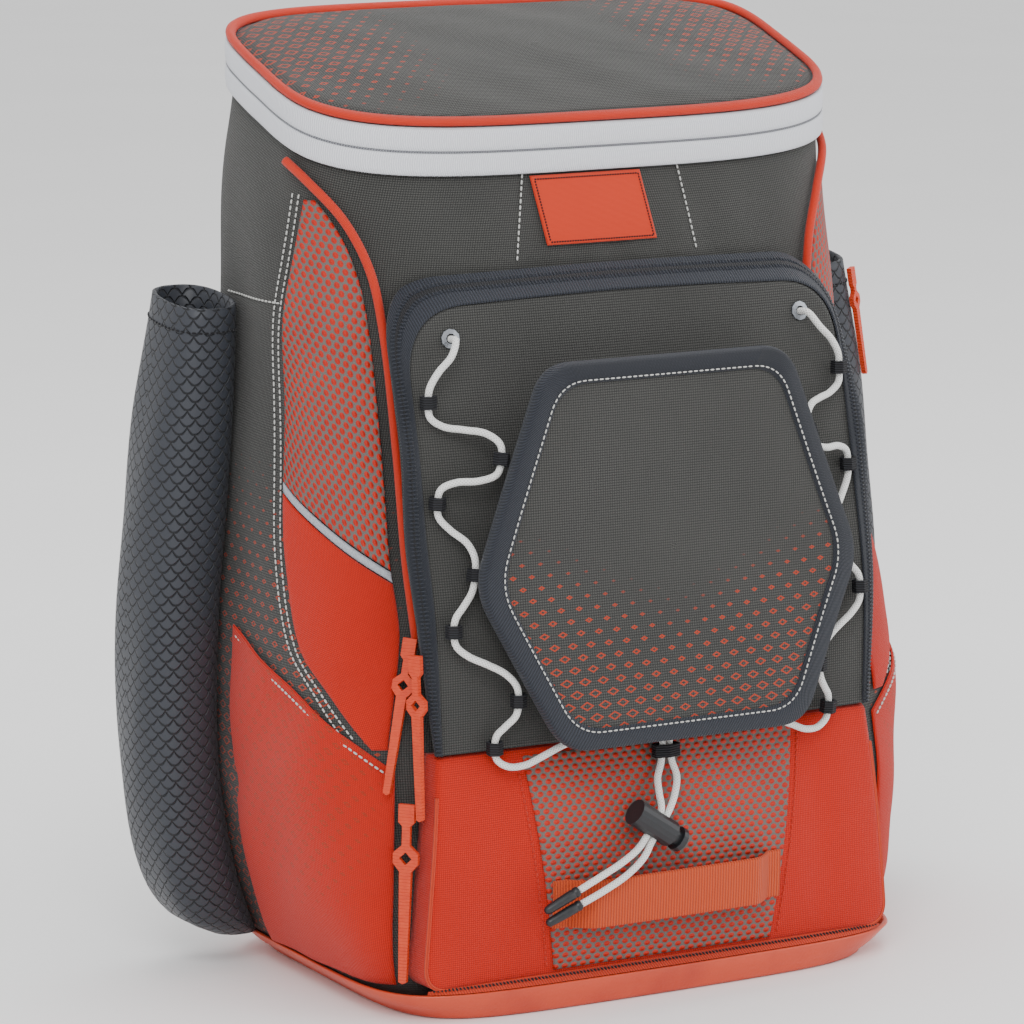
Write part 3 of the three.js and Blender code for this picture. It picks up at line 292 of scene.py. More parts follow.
cord_white, n, s = finish_of("white_braid", roughness=0.7, sheen=0.3, specular=0.3)
uv = n.add("ShaderNodeUVMap", uv_map="cloth").outputs[0]
at = n.add("ShaderNodeSeparateXYZ", [uv]).outputs
plait_a = n.math("SINE", n.math("MULTIPLY", n.math("ADD", at[0], at[1]), 3600.0))
plait_b = n.math("SINE", n.math("MULTIPLY", n.math("SUBTRACT", at[0], at[1]), 3600.0))
plait = n.math("MAXIMUM", plait_a, plait_b)
shade = n.span(plait, -0.6, 1.0)
n.tree.links.new(n.mix(shade, colour(186, 186, 182), colour(240, 240, 238)), s["Base Color"])
bumped(n, s, shade, 0.00022)

black_mould, n, s = finish_of("black_mould", roughness=0.36, specular=0.5)
place = n.add("ShaderNodeTexCoord").outputs["Object"]
grain = n.noise(place, 900.0, 3.0)
n.tree.links.new(n.mix(grain, colour(20, 21, 24), colour(34, 36, 40)), s["Base Color"])
n.tree.links.new(n.span(grain, 0.3, 0.7, 0.3, 0.46), s["Roughness"])
bumped(n, s, grain, 0.00006)

tip_rows = np.array([
    (0, 1.9), (0.2, 2.5), (0.9, 2.75), (2.2, 2.75), (2.6, 2.5), (3.2, 2.45), (3.6, 2.7), (8, 2.66), (14, 2.5),
    (18.4, 2.3), (19.9, 1.95), (20.7, 1.3), (21, 0.05),
])
for hand, sign in hands:
    route = np.array([(x * sign, y, z) for x, y, z in lace_route] + tail_routes[hand], float)
    points = flowing(route, 520)
    rings = tube_rows(points, cord_radius, 14)
    mesh = grid_mesh(f"elastic_cord_{hand}", rings, across_closed=True, caps=True)
    cord = piece(f"elastic_cord_{hand}", turned_out(mesh), cord_white, "white_cord", f"bungee_{hand}")
    run = unit(route[-1] - route[-2])
    course = route[-1] + run * (0.3 + tip_rows[:, :1])
    rings = tube_rows(course, tip_rows[:, 1], 24)
    mesh = grid_mesh(f"cord_tip_{hand}", rings, across_closed=True, caps=True)
    tip = piece(f"cord_tip_{hand}", turned_out(mesh), black_mould, "black_plastic", f"bungee_tip_{hand}")

# Body: a cloth shell sewn from woven panels and held out by the gear inside, with soft creases where it is
# pulled. Its sections are superellipses read from a table; the side panels lie just off the same surface.
body_height, body_side, body_front, body_back, spine, lid_slope = 433, 164, 103, 88, 20, 0.34
rise_at, side_at, front_reach, back_reach, nose, tail, tilt = range(7)
sections = np.array([
    (0.009, 0.855, 1.000, 0.900, 6.0, 5, 0.00), (0.035, 0.930, 1.010, 0.950, 6.5, 5, 0.00),
    (0.085, 0.990, 1.000, 0.970, 7.0, 5, 0.00), (0.155, 1.040, 1.000, 0.980, 5.6, 5, 0.00),
    (0.250, 1.075, 1.000, 0.985, 4.8, 5, 0.00), (0.346, 1.080, 0.975, 0.995, 4.5, 5, 0.00),
    (0.462, 1.065, 0.870, 1.000, 4.2, 5, 0.00), (0.577, 1.035, 0.755, 1.000, 3.7, 5, 0.05),
    (0.693, 1.010, 0.680, 1.000, 3.2, 5, 0.20), (0.820, 0.994, 0.620, 1.000, 2.8, 5, 0.50),
    (0.905, 0.976, 0.560, 1.000, 2.9, 5, 0.80), (1.000, 0.942, 0.480, 0.990, 3.6, 5, 1.00),
])
skin_gap = 1.35


def column(table, key, at):
    """Smooth reading of a table's column: a cubic in each span, end slopes from the rows beside it."""
    r, p = table[:, 0], table[:, key]
    slope = np.empty_like(p)
    slope[1:-1] = (p[2:] - p[:-2]) / (r[2:] - r[:-2])
    slope[0], slope[-1] = (p[1] - p[0]) / (r[1] - r[0]), (p[-1] - p[-2]) / (r[-1] - r[-2])
    i = np.clip(np.searchsorted(r, at, side="left") - 1, 0, len(r) - 2)
    span = r[i + 1] - r[i]
    t = np.clip((at - r[i]) / span, 0, 1)
    m1, m2 = slope[i] * span, slope[i + 1] * span
    a, b = 2 * p[i] - 2 * p[i + 1] + m1 + m2, 3 * p[i + 1] - 3 * p[i] - 2 * m1 - m2
    return ((a * t + b) * t + m1) * t + p[i]


def body_point(rise, turn, inset=0.0):
    """Superellipse of the section at a rise, met in the direction of the turn: the sum of ahead over reach
    and across over side, each to the corner's power, is one."""
    rise, turn = np.broadcast_arrays(np.asarray(rise, float), np.asarray(turn, float))
    ahead, across = np.cos(np.radians(turn)), np.sin(np.radians(turn))
    read = [column(sections, key, rise) for key in range(7)]
    side = body_side * read[side_at] - inset
    front, back = body_front * read[front_reach] + spine, body_back * read[back_reach] - spine
    reach = np.where(ahead > 0, front, back) - inset
    square = np.where(ahead > 0, read[nose], read[tail])
    r = ((np.abs(ahead) / reach) ** square + (np.abs(across) / side) ** square) ** (-1 / square)
    y = spine - r * ahead
    return np.stack([r * across, y, body_height * rise + lid_slope * read[tilt] * y], axis=-1)


def creases(turn, z):
    """Height of the cloth's soft folds: sums of slanted waves, each fading in and out over the height."""
    a = np.radians(turn)
    swell = np.exp(-((z - 300) / 90) ** 2)
    low = np.exp(-((z - 120) / 80) ** 2)
    return 1.6 * (0.55 * swell * np.sin(9 * a + z / 17) + 0.4 * np.sin(5 * a - z / 29)
                  + 0.5 * low * np.sin(13 * a + z / 11) + 0.25 * np.sin(21 * a + z / 41))


def body_at(turn, z, out=0.0, folds=True):
    """The body's surface at a height in a direction, found by bisection and moved out along its normal."""
    turn, z = np.broadcast_arrays(np.asarray(turn, float), np.asarray(z, float))
    low, high = np.full(z.shape, sections[0, 0]), np.ones(z.shape)
    for _ in range(26):
        middle = (low + high) / 2
        below = body_point(middle, turn)[..., 2] < z
        low, high = np.where(below, middle, low), np.where(below, high, middle)
    rise = (low + high) / 2
    around = body_point(rise, turn + 1) - body_point(rise, turn - 1)
    upward = body_point(np.minimum(rise + 0.01, 1), turn) - body_point(np.maximum(rise - 0.01, 0.009), turn)
    normal = unit(np.cross(around, upward))
    lift = out + (creases(turn, z) if folds else 0)
    return body_point(rise, turn) + normal * np.asarray(lift)[..., None]


def front_at(x, z):
    """Depth of the body's front across and up, by bisection of the turn."""
    x, z = np.broadcast_arrays(np.abs(np.asarray(x, float)), np.asarray(z, float))
    low, high = np.zeros(x.shape), np.full(x.shape, 88.0)
    for _ in range(20):
        middle = (low + high) / 2
        inside = body_at(middle, z, folds=False)[..., 0] < x
        low, high = np.where(inside, middle, low), np.where(inside, high, middle)
    return body_at(low, z, folds=False)[..., 1]


woven, g, out = new_group("plain_weave", [("At", "v"), ("Pitch", "f")], [("Height", "f")])
per_thread = {0: g["At"], "Scale": woven.math("DIVIDE", 1.0, g["Pitch"])}
threads = woven.add("ShaderNodeVectorMath", per_thread, operation="SCALE").outputs[0]
cell = woven.add("ShaderNodeSeparateXYZ", [threads]).outputs
warp = woven.math("SINE", woven.math("MULTIPLY", woven.math("FRACT", cell[0]), np.pi))
weft = woven.math("SINE", woven.math("MULTIPLY", woven.math("FRACT", cell[1]), np.pi))
steps = woven.math("ADD", woven.math("FLOOR", cell[0]), woven.math("FLOOR", cell[1]))
over = woven.math("ABSOLUTE", woven.math("MODULO", steps, 2.0))
warp_up = woven.math("MULTIPLY", warp, woven.math("ADD", 0.35, woven.math("MULTIPLY", weft, 0.65)))
weft_up = woven.math("MULTIPLY", weft, woven.math("ADD", 0.35, woven.math("MULTIPLY", warp, 0.65)))
share = woven.math("GREATER_THAN", over, 0.5)
picked = woven.add("ShaderNodeMix", {0: share, 2: warp_up, 3: weft_up}, data_type="FLOAT").outputs[0]
woven.tree.links.new(picked, out["Height"])

motif, g, out = new_group("fading_lozenges", [("At", "v"), ("Pitch", "f"), ("Share", "f")], [("Mask", "f")])
at = motif.add("ShaderNodeSeparateXYZ", [g["At"]]).outputs
row = motif.math("DIVIDE", at[1], g["Pitch"])
half_step = motif.math("MULTIPLY", motif.math("FLOORED_MODULO", motif.math("FLOOR", row), 2.0), 0.5)
across = motif.math("ADD", motif.math("DIVIDE", at[0], motif.math("MULTIPLY", g["Pitch"], 1.7)), half_step)
from_middle = [motif.math("ABSOLUTE", motif.math("SUBTRACT", motif.math("FRACT", v), 0.5))
               for v in (across, row)]
reach = motif.math("ADD", *from_middle)
ring = motif.math("ABSOLUTE", motif.math("SUBTRACT", reach, motif.math("MULTIPLY", g["Share"], 0.34)))
drawn = motif.span(ring, 0.05, 0.09, 1.0, 0.0)
motif.tree.links.new(motif.math("MULTIPLY", drawn, motif.span(g["Share"], 0.05, 0.35)), out["Mask"])


def cloth(name, main, dark, pitch, rough=0.85, sheen=0.15, printed=None, print_pitch=0.006):
    """Woven cloth: the weave shades and bumps it, broad noise fades it, lozenges are printed on by a mark."""
    material, n, s = finish_of(name, roughness=rough, sheen=sheen, specular=0.25)
    at = n.add("ShaderNodeUVMap", uv_map="cloth").outputs[0]
    place = n.add("ShaderNodeTexCoord").outputs["Object"]
    height = n.group(woven.tree, At=at, Pitch=pitch)["Height"]
    broad = n.noise(place, 22.0, 3.0)
    tone = n.mix(n.span(height, 0.1, 0.95), dark, main)
    tone = n.mix(n.span(broad, 0.3, 0.75, 0.0, 0.22), tone, dark)
    if printed:
        fade = n.add("ShaderNodeAttribute", attribute_name="fade").outputs["Fac"]
        mask = n.group(motif.tree, At=at, Pitch=print_pitch, Share=fade)["Mask"]
        tone = n.mix(n.math("MULTIPLY", mask, 0.8), tone, printed)
    n.tree.links.new(tone, s["Base Color"])
    slub = n.noise(place, 260.0, 2.0)
    total = n.math("ADD", n.math("MULTIPLY", height, 0.8), n.math("MULTIPLY", slub, 0.5))
    bumped(n, s, total, pitch * 0.3)
    return material


print_orange = colour(182, 58, 28)
charcoal = cloth("charcoal_weave", colour(80, 80, 77), colour(38, 38, 38), 0.0013, printed=print_orange)
orange = cloth("orange_weave", colour(212, 38, 12), colour(158, 24, 8), 0.0011, printed=colour(142, 58, 34))

turn = np.linspace(0, 360, 260, endpoint=False)
rise = np.concatenate([np.linspace(0.009, 0.985, 120), [0.994, 1.0]])
shell = body_point(rise[:, None], turn[None])
around = np.roll(shell, -1, axis=1) - np.roll(shell, 1, axis=1)
normal = unit(np.cross(around, np.gradient(shell, axis=0)))
settled = np.clip((1 - rise) / 0.06, 0, 1)[:, None] * np.clip((rise - 0.02) / 0.04, 0, 1)[:, None]
shell = shell + normal * (creases(turn[None], shell[..., 2]) * settled)[..., None]
beside = np.abs((turn + 180) % 360 - 180)[None]
fade = np.clip((285 - shell[..., 2]) / 150, 0, 1) * np.clip((beside - 50) / 14, 0, 1) * (beside < 150)
mesh = grid_mesh("body_cloth", shell, across_closed=True, caps=True, marks={"fade": fade})
piece("body_cloth", turned_out(mesh), charcoal, "charcoal_cloth", "body_shell")

# Stitches: short loops of spun thread that hold the seams. Each is a rounded bar lying along its seam, made
# by the hundred from one small form.
thread, n, s = finish_of("grey_thread", roughness=0.8, specular=0.2)
place = n.add("ShaderNodeTexCoord").outputs["Object"]
n.tree.links.new(n.mix(n.noise(place, 1500.0), colour(150, 150, 148), colour(214, 214, 210)), s["Base Color"])


def stitched(name, course, outward, pitch=3.2, size=(2.3, 0.55, 0.5), material=None, slot="white_cord"):
    """Bars spaced evenly along a course: each is five-sided with its ends drawn in, and turned outward."""
    run = np.linalg.norm(np.diff(course, axis=0), axis=1)
    reach = np.concatenate([[0], np.cumsum(run)])
    places = np.arange(pitch / 2, reach[-1], pitch)
    middle = np.stack([np.interp(places, reach, course[:, k]) for k in range(3)], axis=1)
    along = unit(np.stack([np.interp(places, reach, np.gradient(course[:, k])) for k in range(3)], axis=1))
    out = unit(np.stack([np.interp(places, reach, outward[:, k]) for k in range(3)], axis=1))
    across = unit(np.cross(along, out))
    form = np.array([(e * r, np.cos(a) * w, np.sin(a) * w) for e, r, w in
                     ((-0.5, 1, 0.55), (-0.3, 1, 1), (0.3, 1, 1), (0.5, 1, 0.55))
                     for a in np.linspace(0, 2 * np.pi, 5, endpoint=False)]) * size
    points = (middle[:, None] + along[:, None] * form[None, :, :1] + across[:, None] * form[None, :, 1:2]
              + out[:, None] * form[None, :, 2:])
    sides = [(5 * r + k, 5 * r + (k + 1) % 5, 5 * r + 5 + (k + 1) % 5, 5 * r + 5 + k)
             for r in range(3) for k in range(5)] + [(4, 3, 2, 1, 0), (15, 16, 17, 18, 19)]
    faces = [[20 * m + v for v in f] for m in range(len(middle)) for f in sides]
    mesh = bpy.data.meshes.new(name)
    mesh.from_pydata(metres(points.reshape(-1, 3)).tolist(), [], faces)
    mesh.polygons.foreach_set("use_smooth", [True] * len(mesh.polygons))
    return piece(name, turned_out(mesh), material or thread, slot)


def body_seam(name, turns, heights, out=0.5, **how):
    """A row of stitches on the body along given turns and heights."""
    course = body_at(turns, heights, out)
    return stitched(name, course, body_at(turns, heights, out + 1) - course, **how)


# Side trims: a net wedge over raised dots, a grey reflective stripe, orange panels and an orange piping, sewn
# on in one line with the seams of the body. Each panel's edge rolls under to its seam.
piping_line = np.array([
    (0.292, 50.5), (0.439, 50.1), (0.528, 53.2), (0.652, 56.9), (0.788, 61.1), (0.856, 64.2), (0.913, 68.6),
    (0.958, 75.2), (0.978, 80.0),
])
rear_seam = np.array([
    (0.3, 53.0), (0.373, 61.3), (0.424, 67.8), (0.521, 73.2), (0.612, 75.4), (0.703, 77.3), (0.795, 78.4),
    (0.865, 77.4), (0.95, 75.6),
])
lower_edge = np.array([(0, 0.292), (0.2, 0.332), (0.5, 0.380), (1, 0.428)])


def rolled(s, t, wide, high, roll=1.6):
    """Share of the full thickness across a panel: a quarter round within the roll's width of each edge."""
    away = np.minimum(np.minimum(s, 1 - s) * wide, np.minimum(t, 1 - t) * high) / roll
    return np.sqrt(1 - (1 - np.clip(away, 0, 1)) ** 2)


def dense(count, lip=0.012):
    """Even steps from nought to one, with a few more close to both ends."""
    edge = lip * np.array([0, 0.15, 0.4, 0.7])
    return np.concatenate([edge, np.linspace(lip, 1 - lip, count), 1 - edge[::-1]])


net, g, out = new_group("net_over_dots", [("At", "v"), ("Across", "f"), ("Up", "f")],
                        [("Dot", "f"), ("Height", "f")])
at = net.add("ShaderNodeSeparateXYZ", [g["At"]]).outputs
row = net.math("DIVIDE", at[1], g["Up"])
shift = net.math("MULTIPLY", net.math("FLOORED_MODULO", net.math("FLOOR", row), 2.0), 0.5)
line = net.math("ADD", net.math("DIVIDE", at[0], g["Across"]), shift)
dx = net.math("MULTIPLY", net.math("SUBTRACT", net.math("FRACT", line), 0.5), 1.55)
dy = net.math("MULTIPLY", net.math("SUBTRACT", net.math("FRACT", row), 0.5), 1.15)
far = net.math("SQRT", net.math("ADD", net.math("MULTIPLY", dx, dx), net.math("MULTIPLY", dy, dy)))
net.tree.links.new(net.span(far, 0.44, 0.56, 1.0, 0.0), out["Dot"])
net.tree.links.new(net.span(far, 0.1, 0.58, 1.0, 0.0), out["Height"])


def netted(name, across, rows):
    """Orange dots standing through a grey knitted net; the net is rough and fibrous, the dots smoother."""
    material, n, s = finish_of(name, roughness=0.6, specular=0.35)
    at = n.add("ShaderNodeUVMap", uv_map="cloth").outputs[0]
    place = n.add("ShaderNodeTexCoord").outputs["Object"]
    made = n.group(net.tree, At=at, Across=across, Up=rows)
    fibre = n.noise(at, 2400.0, 3.0)
    yarn = n.mix(fibre, colour(62, 54, 52), colour(124, 114, 108))
    dot = n.mix(n.noise(place, 40.0), colour(158, 22, 8), colour(206, 44, 18))
    n.tree.links.new(n.mix(made["Dot"], yarn, dot), s["Base Color"])
    bumped(n, s, made["Height"], 0.0009)
    return material


wedge_net = netted("wedge_net", 0.0046, 0.0037)
front_net = netted("front_net", 0.0053, 0.0029)
silver, n, s = finish_of("reflective_stripe", roughness=0.35, specular=0.6)
at = n.add("ShaderNodeUVMap", uv_map="cloth").outputs[0]
bead = n.add("ShaderNodeTexVoronoi", {"Vector": at, "Scale": 1600.0}).outputs[0]
n.tree.links.new(n.mix(bead, colour(176, 180, 188), colour(128, 132, 140)), s["Base Color"])
bumped(n, s, bead, 0.0001)
piping_cloth = cloth("piping_cloth", colour(214, 52, 20), colour(178, 36, 14), 0.0007, rough=0.6)


skin_thick = 1.2
piping_clear = 2.2             # degrees between the piping's middle and the panels behind it
stripe_high = 5
seam_gap = 0.6
wedge_top = 405
panel_foot = 137
lower_panel_foot = 17
lower_turns = (51.5, 88.5)


def side_panel(name, side, low, high, material, slot, node, turns=None, fade=None, count=(40, 60)):
    """A sheet on the body between two turns and two heights, both read along it."""
    s, t = np.meshgrid(dense(count[0]), dense(count[1]))
    z = low(s) + (high(s) - low(s)) * t
    first = column(piping_line, 1, z / body_height) + piping_clear
    last = np.maximum(column(rear_seam, 1, z / body_height), first + 0.5)
    if turns:
        first, last = (np.full(z.shape, turn_at) for turn_at in turns)
    wide = (last - first) * 2.9
    height = np.maximum(high(s) - low(s), 1)
    points = body_at(first + (last - first) * s, z, skin_gap + skin_thick * rolled(s, t, wide, height))
    points[..., 0] *= side
    marks = {"fade": fade(s, z) if fade else np.zeros(z.shape)}
    mesh = grid_mesh(name, points, marks=marks)
    return piece(name, turned_out(mesh, (0, spine, 200)), material, slot, node)


for hand, side in hands:
    def stripe_low(s):
        return 218 + 41 * s

    def lower_high(s):
        return body_height * column(lower_edge, 1, s)

    def lower_fade(s, z):
        return np.clip(1.2 - np.abs(z - 120) / 70, 0, 1) * s * (1 - s) * 4

    side_panel(f"net_wedge_{hand}", side, lambda s: stripe_low(s) + stripe_high + seam_gap,
               lambda s: wedge_top + 0 * s, wedge_net, "mesh_cloth", f"mesh_wedge_{hand}")
    side_panel(f"grey_stripe_{hand}", side, stripe_low, lambda s: stripe_low(s) + stripe_high, silver,
               "silver_tape", f"side_stripe_{hand}", count=(40, 6))
    side_panel(f"orange_side_{hand}", side, lambda s: panel_foot + 0 * s, lambda s: stripe_low(s) - seam_gap,
               orange, "orange_cloth", f"side_panel_{hand}")
    side_panel(f"orange_lower_{hand}", side, lambda s: lower_panel_foot + 0 * s, lower_high, orange,
               "orange_cloth", f"lower_side_{hand}", turns=lower_turns, fade=lower_fade, count=(60, 70))
    route = flowing(body_at(piping_line[1:, 1], piping_line[1:, 0] * body_height, skin_gap + 2.3), 200)
    route[:, 0] *= side
    mesh = grid_mesh(f"piping_{hand}", tube_rows(route, 2.3, 12), across_closed=True, caps=True)
    piece(f"piping_{hand}", turned_out(mesh), piping_cloth, "orange_cloth", f"side_piping_{hand}")
    heights = np.linspace(142, 408, 240)
    seam = side * (column(rear_seam, 1, heights / body_height) + 1.4)
    body_seam(f"rear_seam_{hand}", seam, heights)
    body_seam(f"rear_seam_second_{hand}", seam + side * 1.6, heights)
    body_seam(f"cross_seam_{hand}", side * np.linspace(80, 100, 60), np.full(60, 352.0))
    edge = np.linspace(0.02, 0.98, 120)
    body_seam(f"lower_seam_{hand}", side * (lower_turns[0] + 37 * edge), lower_high(edge) - 4,
              out=skin_gap + 1.5)
    heights = np.linspace(372, 420, 60)
    body_seam(f"front_seam_{hand}", side * np.linspace(34, 33, 60), heights)

# Base: a tray of coated cloth, smooth and a little glossy, folded up round the foot of the body and welded
# at its corners.
coated, n, s = finish_of("coated_base", roughness=0.42, specular=0.5, coat=0.15)
place = n.add("ShaderNodeTexCoord").outputs["Object"]
pebble = n.add("ShaderNodeTexVoronoi", {"Vector": place, "Scale": 700.0}).outputs[0]
wear = n.span(n.noise(place, 30.0, 4.0), 0.45, 0.75)
n.tree.links.new(n.mix(wear, colour(196, 66, 34), colour(178, 52, 26)), s["Base Color"])
bumped(n, s, pebble, 0.00012)
lowest = sections[0, rise_at]
foot = body_height * lowest
tray_top = 0.0346              # rise of the tray's rim
tray_ahead = 18                # how far the tray reaches ahead of the body


def tray_ring(rise, out, z):
    """The body's section moved out, and drawn ahead by the cosine of its turn to a low power."""
    ring = body_point(rise, turn, -out)
    ring[:, 1] -= tray_ahead * np.clip(np.cos(np.radians(turn)), 0, 1) ** 0.35
    ring[:, 2] = z
    return ring


tray = [(lowest, -3, 0), (lowest, -0.8, 0.3), (lowest, 0.6, 1.2), (lowest, 1, foot * 0.6), (0.02, 2.2, 7),
        (tray_top, 3.5, 14.2), (tray_top, 3.1, 15), (tray_top, 1.6, 15), (tray_top, 0.9, 14),
        (lowest, 0.9, foot - 0.4)]
mesh = grid_mesh("coated_tray", np.array([tray_ring(*row) for row in tray]), across_closed=True, caps=True)
piece("coated_tray", turned_out(mesh), coated, "coated_cloth", "base_panel")

# Lid: a padded panel of the body's cloth, edged with an orange piping and sewn to a zipped band of white tape
# in two halves.
band_height, band_out, band_middle, piping = 24, 0.9, 3.3, 2.3
lid_middle = (body_point(1, 0)[1] + body_point(1, 180)[1]) / 2


def rim_ring(out, lift):
    """The body's rim moved out and up, with the tape's slight puckers."""
    ring = body_point(1.0, turn, -out)
    pucker = 0.25 * np.sin(np.radians(turn) * 37) + 0.2 * np.sin(np.radians(turn) * 23 + 1)
    ring[:, 2] += lift
    ring[:, :2] *= (1 + pucker[:, None] * 0.0015)
    return ring


def taped(name, main, dark, pitch, rough=0.6):
    """Woven tape: ribs across its length, each shaded at its foot, crossed by fine threads."""
    material, n, s = finish_of(name, roughness=rough, sheen=0.1, specular=0.3)
    at = n.add("ShaderNodeSeparateXYZ", [n.add("ShaderNodeUVMap", uv_map="cloth").outputs[0]]).outputs
    rib = n.math("SINE", n.math("MULTIPLY", at[0], 2 * np.pi / pitch))
    cross = n.math("SINE", n.math("MULTIPLY", at[1], 2 * np.pi / (pitch * 0.5)))
    height = n.math("ADD", rib, n.math("MULTIPLY", cross, 0.3))
    n.tree.links.new(n.mix(n.span(height, -1.2, 1.0), dark, main), s["Base Color"])
    bumped(n, s, height, pitch * 0.12)
    return material


white_tape = taped("white_tape", colour(236, 237, 242), colour(206, 208, 216), 0.0012, rough=0.5)
for name, node, low, high in (("band_lower", "rim_band", 0, 11.7), ("band_upper", "lid_band", 12.3, 24)):
    rows = [(band_out, low), (band_middle - 0.5, low), (band_middle, low + 0.6)]
    rows += [(band_middle + 0.35 * np.sin(np.pi * k), low + (high - low) * k) for k in (0.25, 0.5, 0.75)]
    rows += [(band_middle, high - 0.6), (band_middle - 0.5, high), (band_out, high)]
    rings = np.array([rim_ring(*row) for row in rows])
    mesh = grid_mesh(name, rings, across_closed=True, along_closed=True)
    piece(name, turned_out(mesh), white_tape, "white_tape", node)
zip_grey = taped("zip_grey", colour(150, 152, 158), colour(70, 72, 78), 0.0014)
angle = np.linspace(0, 2 * np.pi, 12, endpoint=False)
coil = np.array([rim_ring(band_middle - 0.7 + 0.7 * np.cos(a), 12 + 0.7 * np.sin(a)) for a in angle])
mesh = grid_mesh("lid_zip", coil, across_closed=True, along_closed=True)
piece("lid_zip", turned_out(mesh), zip_grey, "white_tape")
edge = np.array([rim_ring(band_middle - piping + piping * np.cos(a), band_height + piping + 0.4
                          + piping * np.sin(a)) for a in angle])
mesh = grid_mesh("lid_edge_piping", edge, across_closed=True, along_closed=True)
piece("lid_edge_piping", turned_out(mesh), piping_cloth, "orange_cloth", "lid_piping")
lid_edge = band_middle - 2 * piping - 0.4
reaches = np.concatenate([np.linspace(0.02, 0.94, 34), [0.965, 0.985, 1.0]])
crown = np.interp(reaches, [0, 0.2, 0.5, 0.8, 1], [1, 0.98, 0.82, 0.42, 0])
edge_ring = rim_ring(lid_edge, 0)
x = edge_ring[None, :, 0] * reaches[:, None]
y = lid_middle + (edge_ring[None, :, 1] - lid_middle) * reaches[:, None]
folds = 0.5 * np.sin(x / 19 + y / 31) + 0.4 * np.sin(y / 13 - x / 47) + 0.3 * np.sin((x + y) / 9)
puff = 6 * crown[:, None] + 3 * np.clip((1 - reaches[:, None]) * 40, 0.4, 1) + folds * np.clip(
    (1 - reaches[:, None]) * 6, 0, 1)
lid = np.stack([x, y, body_height + lid_slope * y + band_height + 0.4 + puff], axis=2)
under = lid[-1:].copy()
under[..., 2] -= 1.1
fade = np.clip(np.abs(x) / 70 - 0.75, 0, 1) * np.clip((y + 40) / 60, 0, 1)
lid_grid = np.concatenate([lid, under])
marks = {"fade": np.concatenate([fade, fade[-1:]])}
mesh = grid_mesh("lid_cloth", lid_grid, across_closed=True, caps=True, texture=lid_grid[..., :2] / 1000,
                 marks=marks)
piece("lid_cloth", turned_out(mesh), charcoal, "charcoal_cloth", "lid_panel")

# Patch: a plain orange woven label, leaning with its panel and stitched down round its edge with dark thread.
patch_left, patch_foot = -35, 379
patch_wide, patch_high = 64, 35
patch_lean = 6.5


def patch_spot(s, t):
    """Across and up on the patch, which leans with its height."""
    return patch_left + patch_wide * s - patch_lean * t, patch_foot + patch_high * t


s_at, t_at = np.meshgrid(dense(30, 0.02), dense(20, 0.03))
x, z = patch_spot(s_at, t_at)
y = front_at(x, z) - 0.9 - skin_thick * rolled(s_at, t_at, patch_wide, patch_high, 1.0) - 0.3
mesh = grid_mesh("plain_patch", np.stack([x, y, z], axis=2))
patch_cloth = cloth("patch_weave", colour(220, 62, 22), colour(184, 42, 14), 0.0006, rough=0.6)
piece("plain_patch", turned_out(mesh, (0, 60, 400)), patch_cloth, "orange_cloth", "label_patch")
corner = np.array([(0.03, 0.05), (0.97, 0.05), (0.97, 0.95), (0.03, 0.95), (0.03, 0.05)])
walk = np.linspace(0, 4, 240)
x, z = patch_spot(*(np.interp(walk, range(5), corner[:, k]) for k in (0, 1)))
course = np.stack([x, front_at(x, z) - 2.5, z], axis=1)
dark_thread = cloth("dark_thread", colour(40, 40, 46), colour(20, 20, 24), 0.0005)
stitched("patch_stitches", course, np.tile([0.0, -1, 0.25], (240, 1)), 1.5, (1.1, 0.45, 0.3), dark_thread,
         "orange_cloth")

# Front pocket: an arched box of the body's cloth, sewn to the front panel. Its wall leans out to a navy zip
# tape, which slopes in to the face.
pocket_foot, pocket_top, pocket_radius = 136, 369, 34
pocket_crown = 2
pocket_bulge = 8
face_half = 123
tape_depths = np.array([(0, 1.05), (0.27, 0.99), (0.44, 0.91), (0.62, 0.86), (0.72, 0.78), (0.82, 0.68),
                        (0.91, 0.58), (1, 0.45)])
face_depths = np.array([(0, 1.065), (0.27, 1.035), (0.5, 0.925), (0.6, 0.88), (0.7, 0.83), (0.79, 0.78),
                        (0.94, 0.72), (1, 0.70)])


def pocket_share(z):
    return np.clip((z - pocket_foot) / (pocket_top - pocket_foot), 0, 1)


def bezier(a, b, c, count):
    """Quadratic curve: the first and last points and the pull of the middle one."""
    t = np.linspace(0, 1, count)[:, None]
    return (1 - t) ** 2 * a + 2 * t * (1 - t) * b + t ** 2 * c


def arch(half, swell, top, steps=260):
    """Evenly spaced outline as across and up, from the left foot round the arch to the right foot; the sides
    swell by a half wave over the height."""
    low, shoulder = pocket_foot, top - pocket_crown
    p = [np.array(q, float) for q in ((-half, low), (-half, shoulder - pocket_radius), (-half, shoulder),
                                      (pocket_radius - half, shoulder), (0, top + pocket_crown))]
    left = np.concatenate([np.linspace(p[0], p[1], 60), bezier(p[1], p[2], p[3], 30),
                           bezier(p[3], p[4], p[3] * (-1, 1), 60)])
    path = np.concatenate([left, (bezier(p[1], p[2], p[3], 30) * (-1, 1))[::-1],
                           np.linspace(p[1], p[0], 60) * (-1, 1)])
    reach = np.concatenate([[0], np.cumsum(np.linalg.norm(np.diff(path, axis=0), axis=1))])
    places = np.linspace(0, reach[-1], steps)
    even = np.stack([np.interp(places, reach, path[:, k]) for k in (0, 1)], axis=1)
    even[:, 0] += np.sign(even[:, 0]) * swell * np.sin(np.pi * pocket_share(even[:, 1]))
    return even


